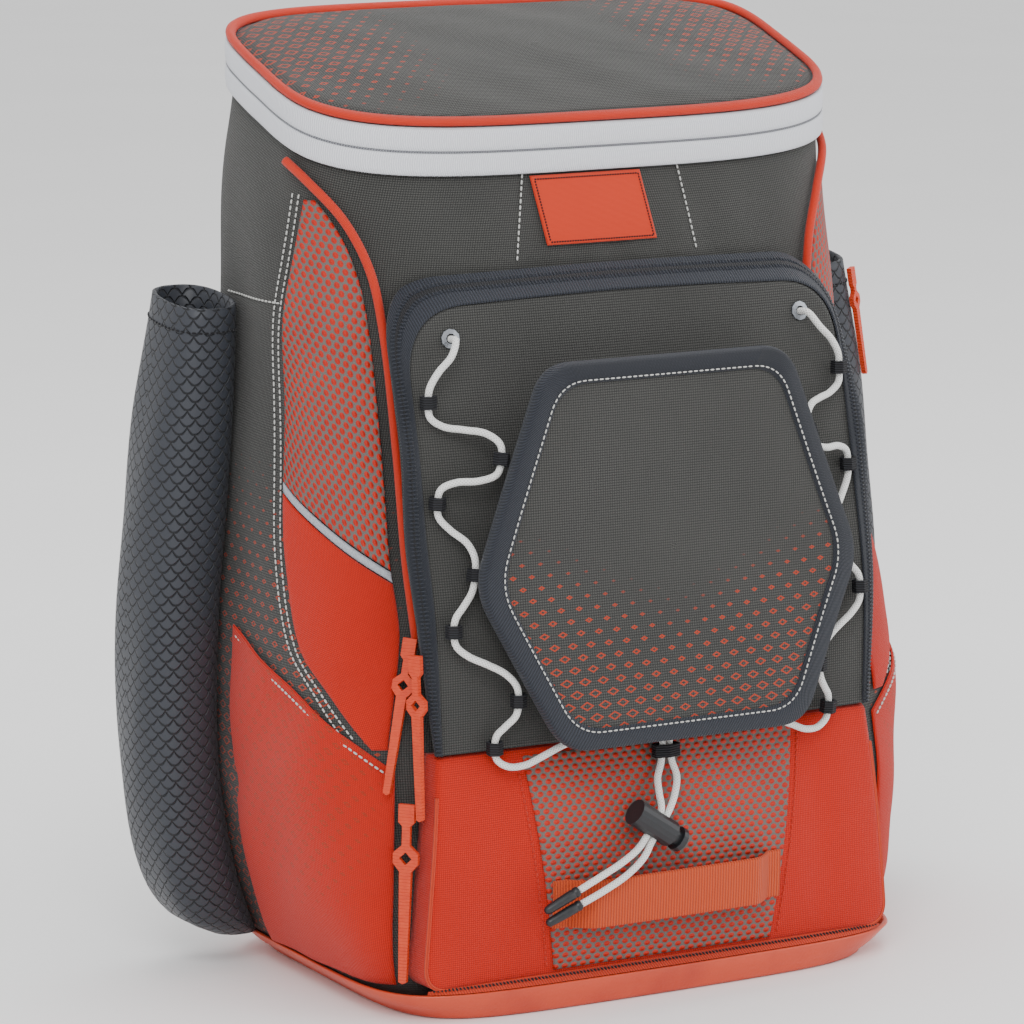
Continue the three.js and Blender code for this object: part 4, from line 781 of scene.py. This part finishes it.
def face_depth(x, z):
    """The face's edge by height, less the swell of a filled pocket and its soft folds."""
    share = pocket_share(z)
    across = np.clip(1 - (x / face_half) ** 2, 0, 1)
    folds = 0.5 * np.sin(x / 21 + z / 33) + 0.4 * np.sin(z / 15 - x / 37)
    swell = across * np.sin(np.pi * (0.12 + 0.76 * share))
    return -body_front * column(face_depths, 1, share) - pocket_bulge * swell - folds * across


def foot_line(outline, count=80):
    """The outline closed along its foot, from right to left."""
    ends = np.linspace(outline[-1], outline[0], count + 2)[1:-1]
    return np.concatenate([outline, ends])


outlines = ((119, 0, pocket_top - 1), (127, 8.5, pocket_top), (face_half, 2, pocket_top - 13))
seat, rim, face = (foot_line(arch(*row)) for row in outlines)
rim_depth = np.minimum(-body_front * column(tape_depths, 1, pocket_share(rim[:, 1])),
                       front_at(rim[:, 0], rim[:, 1]) - 3.1)
rim_points = np.stack([rim[:, 0], rim_depth, rim[:, 1]], axis=1)
middle = np.array([0, (pocket_foot + pocket_top - 13) / 2])
rows = []
for reach in np.concatenate([np.linspace(0.02, 0.96, 44), [0.985, 1.0]]):
    q = middle + (face - middle) * reach
    rows.append(np.stack([q[:, 0], face_depth(q[:, 0], q[:, 1]), q[:, 1]], axis=1))
face_edge = rows[-1]
rows += [face_edge + (rim_points - face_edge) * k for k in (0.33, 0.66, 1)]
seat_points = np.stack([seat[:, 0], front_at(seat[:, 0], seat[:, 1]) - 0.9, seat[:, 1]], axis=1)
rows += [rim_points + (seat_points - rim_points) * k for k in (0.04, 0.35, 0.7, 1)]
grid = np.array(rows)


def wrapped(grid, depth):
    """The cloth's map on a box: across and up, and on the walls turned out by the depth behind the front."""
    x, y, z = grid.transpose(2, 0, 1)
    return np.stack([x + np.clip(x / 60, -1, 1) * (y - depth(x, z)), z], axis=2) / 1000


mesh = grid_mesh("pocket_cloth", grid, across_closed=True, caps=True, texture=wrapped(grid, face_depth))
piece("pocket_cloth", turned_out(mesh), charcoal, "charcoal_cloth", "front_pocket")
navy = taped("navy_tape", colour(46, 50, 60), colour(22, 25, 31), 0.0016)
black = taped("black_webbing", colour(34, 35, 40), colour(14, 14, 16), 0.0014)
steps = 260
outer, inner = rim_points[:steps], face_edge[:steps]
normal = unit(np.cross(inner - outer, np.gradient(outer, axis=0)))
normal *= np.sign((normal[:, 1] < 0) - 0.5)[:, None]


def tape_strip(name, low, high, out, material, slot, *nodes, thick=1.2, count=12):
    """A strip on the slope round the face, between two shares of it, with rolled edges."""
    t = dense(count, 0.03)[:, None, None]
    wide = np.linalg.norm(inner - outer, axis=1).mean() * (high - low)
    lift = out + thick * rolled(np.full((1, steps), 0.5), t[..., 0], 500, wide, 1.0)
    base = outer[None] + (inner - outer)[None] * (low + (high - low) * t)
    mesh = grid_mesh(name, base + normal[None] * lift[..., None])
    return piece(name, turned_out(mesh, (0, 40, 220)), material, slot, *nodes)


tape_strip("pocket_zip_tape", 0.03, 0.97, 0.9, navy, "navy_tape", "pocket_zip")
tape_strip("pocket_zip_chain", 0.36, 0.5, 2.0, black, "black_webbing", thick=0.5, count=6)
for name, share in (("zip_teeth_outer", 0.32), ("zip_teeth_inner", 0.54)):
    line = outer + (inner - outer) * share + normal * 2.3
    stitched(name, line, normal, 2.0, (0.9, 1.5, 0.5), navy, "navy_tape")

# Flap: a six-sided panel padded with foam between two cloths, and bound round its edge with a folded ribbed
# tape. The cord laces it down over the front pocket.
flap_foot, flap_top = 137, 329
flap_corners = np.array([(70, flap_top), (111, 220), (70, flap_foot),
                         (-70, flap_foot), (-111, 220), (-70, flap_top)], float)
flap_middle = np.array([0, (flap_foot + flap_top) / 2])
flap_face = np.array([(0, 1.37), (0.43, 1.225), (1, 1.175)])


def flap_outline(inset, radius=15):
    """The corners drawn in towards the middle and rounded, each side cut into even steps."""
    away = flap_corners - flap_middle
    corners = flap_middle + away * (1 - inset / (np.linalg.norm(away, axis=1, keepdims=True) * 0.87))
    before, after = np.roll(corners, 1, axis=0), np.roll(corners, -1, axis=0)
    starts = corners + unit(before - corners) * radius
    ends = corners + unit(after - corners) * radius
    sides = [np.concatenate([bezier(starts[k], corners[k], ends[k], 12),
                             np.linspace(ends[k], starts[(k + 1) % 6], 30)[1:-1]]) for k in range(6)]
    return np.concatenate(sides)


def flap_depth(z):
    return -body_front * column(flap_face, 1, np.clip((z - flap_foot) / (flap_top - flap_foot), 0, 1))


def flap_ring(inset, back):
    ring = flap_outline(inset)
    return np.stack([ring[:, 0], flap_depth(ring[:, 1]) + back, ring[:, 1]], axis=1)


bound = [(0.6, 0.4), (2, 0), (6, -0.5), (10, -0.2), (11.3, 0.2), (11.5, 1.2), (8, 1.2), (1.2, 1.2),
         (1.2, 7.8), (8, 7.8), (11.5, 7.8), (11.5, 8.8), (6, 9.3), (2, 9), (0.6, 8.5), (0, 6.5), (-0.3, 4.5),
         (0, 2.2)]
rings = np.array([flap_ring(*row) for row in bound])
mesh = grid_mesh("flap_binding", rings, across_closed=True, along_closed=True)
piece("flap_binding", turned_out(mesh), navy, "navy_tape", "hex_binding")
rows, fades = [], []
for inset, back in [(1.7, 4.5), (1.7, 1.9), (9, 1.4), (11.8, 1.0)]:
    rows.append(flap_ring(inset, back))
edge = flap_outline(11.8)
for reach in np.linspace(0.985, 0.02, 46):
    q = flap_middle + (edge - flap_middle) * reach
    puff = 1.0 - 1.7 * (1 - reach ** 6) - 0.5 * np.sin(q[:, 0] / 18 + q[:, 1] / 27) * (1 - reach)
    rows.append(np.stack([q[:, 0], flap_depth(q[:, 1]) + puff, q[:, 1]], axis=1))
front = np.array(rows)
back = np.array([flap_ring(*row) for row in ((1.7, 4.6), (1.7, 7.2), (30, 7.4), (60, 7.4))])
grid = np.concatenate([front[::-1], back])
fade = np.clip((215 + np.abs(grid[..., 0]) * 0.45 - grid[..., 2]) / 80, 0, 1) * 0.95
mesh = grid_mesh("flap_cloth", grid, across_closed=True, caps=True, texture=grid[..., ::2] / 1000,
                 marks={"fade": fade})
flap = piece("flap_cloth", turned_out(mesh), charcoal, "charcoal_cloth", "hex_flap")
course = flap_ring(9.6, -0.6)
course = np.concatenate([course, course[:1]])
stitched("binding_stitches", course, np.tile([0.0, -1, -0.15], (len(course), 1)), 3.2, (2.2, 0.45, 0.4))

# Lower pocket: a shallow box of orange cloth with a net panel let in to its middle and a webbing strap across
# it, over a zip along its foot.
lower_foot, lower_top = 16, 135.2
lower_foot_half, lower_top_half = 138, 127
lower_corner = 14
lower_proud = 13
lower_bulge = 5


def lower_outline(inset):
    """Outline from the middle of the top clockwise: splayed sides and round lower corners, evenly cut."""
    low, high, corner = lower_foot + inset, lower_top - inset, lower_corner
    wide = lower_foot_half - inset

    def splay(z):
        share = (z - lower_foot) / (lower_top - lower_foot)
        return lower_foot_half + (lower_top_half - lower_foot_half) * share

    p = np.array([(0, high), (splay(high) - inset, high), (splay(low + corner) - inset, low + corner),
                  (wide, low), (wide - corner, low)], float)
    half = np.concatenate([np.linspace(p[0], p[1], 60), np.linspace(p[1], p[2], 50)[1:],
                           bezier(p[2], p[3], p[4], 20), np.linspace(p[4], p[4] * (0, 1), 50)[1:]])
    path = np.concatenate([half, (half * (-1, 1))[::-1][1:]])
    reach = np.concatenate([[0], np.cumsum(np.linalg.norm(np.diff(path, axis=0), axis=1))])
    even = np.linspace(0, reach[-1], 301)[:-1]
    return np.stack([np.interp(even, reach, path[:, k]) for k in (0, 1)], axis=1)


foot_depth = body_front * 0.065


def lower_depth(x, z, folds=1.0):
    """The pocket's front: further out at its foot, swollen across and up, with upright folds at its sides."""
    share = np.clip((z - lower_foot) / (lower_top - lower_foot), 0, 1)
    swell = np.clip(1 - (x / lower_foot_half) ** 2, 0, 1) * np.sin(np.pi * share)
    beside_net = np.clip((np.abs(x) - 82) / 12, 0, 1)
    fold = 0.7 * np.sin(x / 9 + z / 60) * beside_net * np.sin(np.pi * share) * folds
    return -body_front - (lower_proud + (foot_depth - lower_proud) * share ** 3) - lower_bulge * swell - fold


outline = lower_outline(4)
centre = np.array([0, (lower_foot + lower_top) / 2])
rows = []
for reach in np.linspace(0.02, 1.0, 44):
    q = centre + (outline - centre) * reach
    rows.append(np.stack([q[:, 0], lower_depth(q[:, 0], q[:, 1]), q[:, 1]], axis=1))
for inset, back in ((2.5, 0.3), (1.2, 1.2), (0.5, 3)):
    q = lower_outline(inset)
    rows.append(np.stack([q[:, 0], lower_depth(q[:, 0], q[:, 1]) + back, q[:, 1]], axis=1))
q = lower_outline(0)
rest = np.stack([q[:, 0], front_at(np.minimum(np.abs(q[:, 0]), 140), q[:, 1]) - 0.9, q[:, 1]], axis=1)
rows += [rows[-1] + (rest - rows[-1]) * k for k in (0.3, 0.65, 1)]
grid = np.array(rows)
mesh = grid_mesh("lower_pocket_cloth", grid, across_closed=True, caps=True,
                 texture=wrapped(grid, lambda x, z: lower_depth(x, z, 0)))
piece("lower_pocket_cloth", turned_out(mesh), orange, "orange_cloth", "lower_pocket")
s_at, t_at = np.meshgrid(dense(70), dense(50))
z = 20 + (131.2 - 20) * t_at
x = (2 * s_at - 1) * (64 + 15 * t_at)
y = lower_depth(x, z) - 0.4 - 1.2 * rolled(s_at, t_at, 143, 111)
mesh = grid_mesh("net_panel", np.stack([x, y, z], axis=2), texture=np.stack([x, z], axis=2) / 1000)
piece("net_panel", turned_out(mesh, (0, 0, 75)), front_net, "mesh_cloth", "mesh_panel")
for hand, side in hands:
    z = np.linspace(22, 130, 90)
    x = side * (68 + 15 * (z - 20) / 111)
    course = np.stack([x, lower_depth(x, z) - 0.2, z], axis=1)
    stitched(f"net_seam_{hand}", course, np.tile([0.0, -1, 0], (90, 1)), material=piping_cloth,
             slot="orange_cloth")
x, z = lower_outline(1.2)[58:243].T
zip_course = np.stack([x, lower_depth(x, z) + 1.3, z], axis=1)
orange_tape = taped("orange_tape", colour(208, 62, 24), colour(160, 38, 14), 0.0015)
mesh = grid_mesh("lower_zip", tube_rows(flowing(zip_course, 260), 1.1, 8), across_closed=True, caps=True)
piece("lower_zip", turned_out(mesh), orange_tape, "orange_webbing")
shelf = tray_ring(tray_top, 3.1, 15)
shelf = shelf[(shelf[:, 1] < 0) & (np.abs(shelf[:, 0]) < 140)]
shelf = shelf[np.argsort(shelf[:, 0])]
s_at, t_at = np.meshgrid(np.linspace(-1, 1, 160), dense(8, 0.05))
x = 134 * s_at
inner_y, outer_y = lower_depth(x, 18.0) + 1.5, np.interp(x, shelf[:, 0], shelf[:, 1]) + 0.6
y = inner_y + (outer_y - inner_y) * t_at
z = 17.6 - 2.2 * t_at + 0.7 * np.sin(np.pi * t_at)
mesh = grid_mesh("foot_tape", np.stack([x, y, z], axis=2))
piece("foot_tape", turned_out(mesh, (0, 0, -200)), orange_tape, "orange_webbing")
x = np.linspace(-132, 132, 300)
inner_y, outer_y = lower_depth(x, 18.0) + 1.5, np.interp(x, shelf[:, 0], shelf[:, 1]) + 0.6
course = np.stack([x, inner_y + (outer_y - inner_y) * 0.5, np.full(300, 17.5)], axis=1)
stitched("foot_zip_teeth", course, np.tile([0.0, -0.3, 1], (300, 1)), 2.0, (0.9, 1.3, 0.5), black,
         "black_webbing")
s_at, t_at = np.meshgrid(dense(90), dense(8, 0.04))
x, z = (2 * s_at - 1) * 67, 55 + 25 * (t_at - 0.5)
sewn = np.clip((1 - np.abs(2 * s_at - 1)) * 5 - 0.6, 0, 1)
y = lower_depth(x, z) - 2.0 - 9 * np.sin(np.pi / 2 * sewn)
y = y - 1.8 * rolled(s_at, t_at, 134, 25, 0.8)
mesh = grid_mesh("webbing_strap", np.stack([x, y, z], axis=2))
web = taped("orange_webbing", colour(206, 78, 28), colour(160, 50, 16), 0.0016)
piece("webbing_strap", turned_out(mesh, (0, 0, 55)), web, "orange_webbing", "web_loop")

# Bat sleeves: flat tubes of slate cloth, embossed with scales, open at the top and sewn to the body's sides.
sleeve_foot, sleeve_high = 17, 333
sleeve_middle, sleeve_half, sleeve_bulge = 46, 30, 47
sleeve_wall = 2.2
scale_cloth, n, s = finish_of("scale_cloth", roughness=0.5, specular=0.4, sheen=0.05)
at = n.add("ShaderNodeSeparateXYZ", [n.add("ShaderNodeUVMap", uv_map="cloth").outputs[0]]).outputs
row = n.math("DIVIDE", at[1], 0.0042)
shift = n.math("MULTIPLY", n.math("FLOORED_MODULO", n.math("FLOOR", row), 2.0), 0.5)
line = n.math("ADD", n.math("DIVIDE", at[0], 0.0082), shift)
dx = n.math("MULTIPLY", n.math("ABSOLUTE", n.math("SUBTRACT", n.math("FRACT", line), 0.5)), 2.0)
bow = n.math("SUBTRACT", n.math("FRACT", row), n.math("MULTIPLY", n.math("MULTIPLY", dx, dx), 0.9))
edge_line = n.span(n.math("ABSOLUTE", n.math("SUBTRACT", bow, 0.05)), 0.0, 0.22, 0.0, 1.0)
n.tree.links.new(n.mix(edge_line, colour(16, 17, 20), colour(48, 51, 58)), s["Base Color"])
n.tree.links.new(n.span(edge_line, 0.0, 1.0, 0.7, 0.46), s["Roughness"])
bumped(n, s, edge_line, 0.0008)
sleeve_rows = np.array([(0, 0.52, 0.55), (0.03, 0.82, 0.82), (0.1, 0.95, 0.95), (0.3, 0.97, 1), (0.55, 1, 1),
                        (0.8, 0.97, 0.98), (1, 0.78, 0.88)])
rounds = np.linspace(0, 2 * np.pi, 120, endpoint=False)


def sleeve_ring(rise, inset, lift):
    """A flat oval beside the body's widest place at a height, its rim sloping with its depth."""
    z = sleeve_foot + sleeve_high * rise + lift
    near = max(body_at(t, min(z, 358), folds=False)[0] for t in (80, 90, 100, 110, 120)) + 0.9 + inset
    bulge = sleeve_bulge * column(sleeve_rows, 1, np.array(rise))
    far = near + bulge - 2 * inset
    half = sleeve_half * column(sleeve_rows, 2, np.array(rise)) - inset
    c, q = np.cos(rounds), np.sin(rounds)
    fold = 0.5 * np.sin(5 * rounds + z / 21) * (c > 0) * min(1, 6 * (1 - rise)) if inset == 0 else 0
    x = (near + far) / 2 + ((far - near) / 2) * np.sign(c) * np.abs(c) ** 0.75 - fold
    y = sleeve_middle + half * np.sign(q) * np.abs(q) ** 0.85
    return np.stack([x, y, z + 0.12 * rise * (y - sleeve_middle)], axis=1)


rises = np.linspace(0, 1, 70)
sleeve = np.array([sleeve_ring(r, 0, 0) for r in rises] + [sleeve_ring(1, 1.1, 0.5)]
                  + [sleeve_ring(r, sleeve_wall, sleeve_wall if r == 0 else 0) for r in rises[::-3]])
for hand, side in hands:
    mirrored = sleeve * (side, 1, 1)
    mesh = grid_mesh(f"sleeve_{hand}", mirrored, across_closed=True, caps=True)
    piece(f"sleeve_{hand}", turned_out(mesh), scale_cloth, "slate_cloth", f"bat_sleeve_{hand}")
    hem = sleeve_ring(0.965, -0.2, 0) * (side, 1, 1)
    hem = np.concatenate([hem, hem[:1]])
    stitched(f"sleeve_hem_{hand}", hem, unit(hem - hem.mean(axis=0)), material=dark_thread,
             slot="slate_cloth")

# Back: a foam pad with sewn channels, two padded shoulder straps that narrow to their webbing, and a haul
# handle of black webbing.
pad_half, pad_foot, pad_high, pad_thick = 118, 50, 355, 10
pad_taper = 0.12
strap_head, strap_drop, strap_half = 398, 336, 31
strap_top_x, strap_splay, strap_stand, strap_thick = 52, 40, 15, 9
handle_half, handle_reach, handle_height, handle_wide, handle_thick = 36, 24, 442, 22, 5
slate = cloth("slate_weave", colour(54, 57, 64), colour(26, 28, 33), 0.0012)


def pad_depth(x, z, out):
    """The back's depth plus a thickness that thins towards the pad's edges."""
    t = (z - pad_foot) / pad_high
    s = 1 - np.abs(x) / (pad_half * (1 - pad_taper * t))
    thin = np.minimum(1, 3 * s + 0.25) * np.minimum(1, 6 * np.minimum(t, 1 - t) + 0.25)
    around = 180 - np.degrees(np.arctan2(np.abs(x), body_back - spine))
    return body_at(around, z, folds=False)[..., 1] + 0.9 + out * np.maximum(thin, 0.25)


def closed_skin(place, count):
    """A closed pad from a place function of across, along and thickness share: its face and its back."""
    s, t = np.meshgrid(dense(count[0], 0.02), dense(count[1], 0.02))
    outer, inner = place(s, t, 1.0), place(s, t, 0.0)
    return np.concatenate([outer, inner[:, ::-1]], axis=1)


def pad_place(s, t, k):
    z = pad_foot + pad_high * t
    x = pad_half * (1 - 2 * s) * (1 - pad_taper * t)
    upright = np.exp(-((np.abs(x) - 38) / 4) ** 2)
    level = np.exp(-(((z - pad_foot) % 89 - 44) / 4) ** 2)
    thick = pad_thick * k * rolled(s, t, 2 * pad_half, pad_high, 6) * (1 - 0.35 * (upright + level))
    return np.stack([x, pad_depth(x, z, thick), z], axis=2)


mesh = grid_mesh("back_padding", closed_skin(pad_place, (70, 90)), across_closed=True)
pad = piece("back_padding", turned_out(mesh), slate, "slate_cloth", "back_pad")
strap_rows = np.array([(0, 0, 0.02, 0.75, 0.6), (0.15, 0.02, 0.75, 1, 1), (0.4, 0.15, 1, 1, 1),
                       (0.62, 0.45, 1, 0.85, 1), (0.74, 0.66, 0.9, 0.42, 0.3), (1, 1, 0, 0.4, 0.3)])
for hand, side in hands:
    def strap_place(s, t, k):
        z = strap_head - strap_drop * t
        middle = strap_top_x + strap_splay * column(strap_rows, 1, t)
        half = strap_half * column(strap_rows, 3, t)
        x = middle + half * (1 - 2 * s)
        stand = 0.9 + strap_stand * np.maximum(column(strap_rows, 2, t), 0)
        thick = strap_thick * k * column(strap_rows, 4, t) * rolled(s, t, 2 * half, strap_drop, 5)
        return np.stack([side * x, pad_depth(middle, z, pad_thick) + stand + thick, z], axis=2)

    mesh = grid_mesh(f"strap_{hand}", closed_skin(strap_place, (24, 110)), across_closed=True)
    strap = piece(f"strap_{hand}", turned_out(mesh), slate, "slate_cloth", f"shoulder_strap_{hand}")


def handle_place(s, t, k):
    a = np.pi * (0.006 + 0.988 * s)
    z = handle_height + handle_wide * (t - 0.5)
    out = handle_thick * k * rolled(s, t, 110, handle_wide, 1.5)
    y = body_at(160, z, folds=False)[..., 1] + (handle_reach + out) * np.sin(a)
    return np.stack([-(handle_half + out) * np.cos(a), y, z], axis=2)


mesh = grid_mesh("carry_handle", closed_skin(handle_place, (60, 10)), across_closed=True)
piece("carry_handle", turned_out(mesh), black, "black_webbing", "haul_handle")

# Hardware: the moulded cord lock and zip pulls, the webbing loops and the pressed eyelets keep their forms,
# each with a finish of its own.
rubber, n, s = finish_of("moulded_rubber", roughness=0.5, specular=0.4)
place = n.add("ShaderNodeTexCoord").outputs["Object"]
ridge = n.math("SINE", n.math("MULTIPLY", n.add("ShaderNodeSeparateXYZ", [place]).outputs[2], 3800.0))
n.tree.links.new(n.mix(n.noise(place, 300.0), colour(196, 48, 18), colour(222, 76, 36)), s["Base Color"])
bumped(n, s, ridge, 0.0002)
nickel, n, s = finish_of("dull_nickel", roughness=0.35, specular=0.6)
s["Metallic"].default_value = 0.85
place = n.add("ShaderNodeTexCoord").outputs["Object"]
n.tree.links.new(n.mix(n.noise(place, 900.0), colour(120, 124, 130), colour(168, 172, 178)), s["Base Color"])
loop_web, n, s = finish_of("loop_webbing", roughness=0.7, specular=0.3)
place = n.add("ShaderNodeTexCoord").outputs["Object"]
ribs = n.math("SINE", n.math("MULTIPLY", n.add("ShaderNodeSeparateXYZ", [place]).outputs[2], 5200.0))
n.tree.links.new(n.mix(n.span(ribs, -1, 1), colour(14, 14, 16), colour(40, 41, 46)), s["Base Color"])
bumped(n, s, ribs, 0.00025)
kept = (("lock", black_mould), ("pocket_pull", rubber), ("lower_pull", rubber), ("sleeve_pull", rubber),
        ("eyelet", nickel), ("pocket_loop", loop_web), ("flap_loop", loop_web), ("centre_loop", loop_web))
for name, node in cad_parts.items():
    for start, material in kept:
        if name.startswith(start):
            node.data.materials.clear()
            node.data.materials.append(material)

# Studio: a pale seamless floor and three broad soft lights in a pale room.
floor_mesh = bpy.data.meshes.new("floor")
floor_mesh.from_pydata([(-6, -6, 0), (6, -6, 0), (6, 6, 0), (-6, 6, 0)], [], [(0, 1, 2, 3)])
floor = bpy.data.objects.new("floor", floor_mesh)
bpy.context.scene.collection.objects.link(floor)
paper, n, s = finish_of("pale_paper", roughness=0.9, specular=0.1)
place = n.add("ShaderNodeTexCoord").outputs["Object"]
n.tree.links.new(n.mix(n.noise(place, 3.0), colour(244, 244, 244), colour(250, 250, 250)), s["Base Color"])
floor_mesh.materials.append(paper)
world = bpy.data.worlds.new("room")
bpy.context.scene.world = world
world.use_nodes = True
world.node_tree.nodes["Background"].inputs[0].default_value = (1, 1, 1, 1)
world.node_tree.nodes["Background"].inputs[1].default_value = 1.05
for name, place, power, size in (("key", (-1.4, -2.2, 2.2), 50, 1.6), ("fill", (2.2, -1.6, 1.4), 24, 1.8),
                                 ("top", (0.2, 0.4, 2.6), 26, 1.6)):
    lamp = bpy.data.lights.new(name, "AREA")
    lamp.energy, lamp.size = power, size
    light = bpy.data.objects.new(name, lamp)
    bpy.context.scene.collection.objects.link(light)
    light.matrix_world = Matrix.Translation(place) @ (Vector(place) - Vector((0, 0, 0.22))).to_track_quat(
        "Z", "Y").to_matrix().to_4x4()
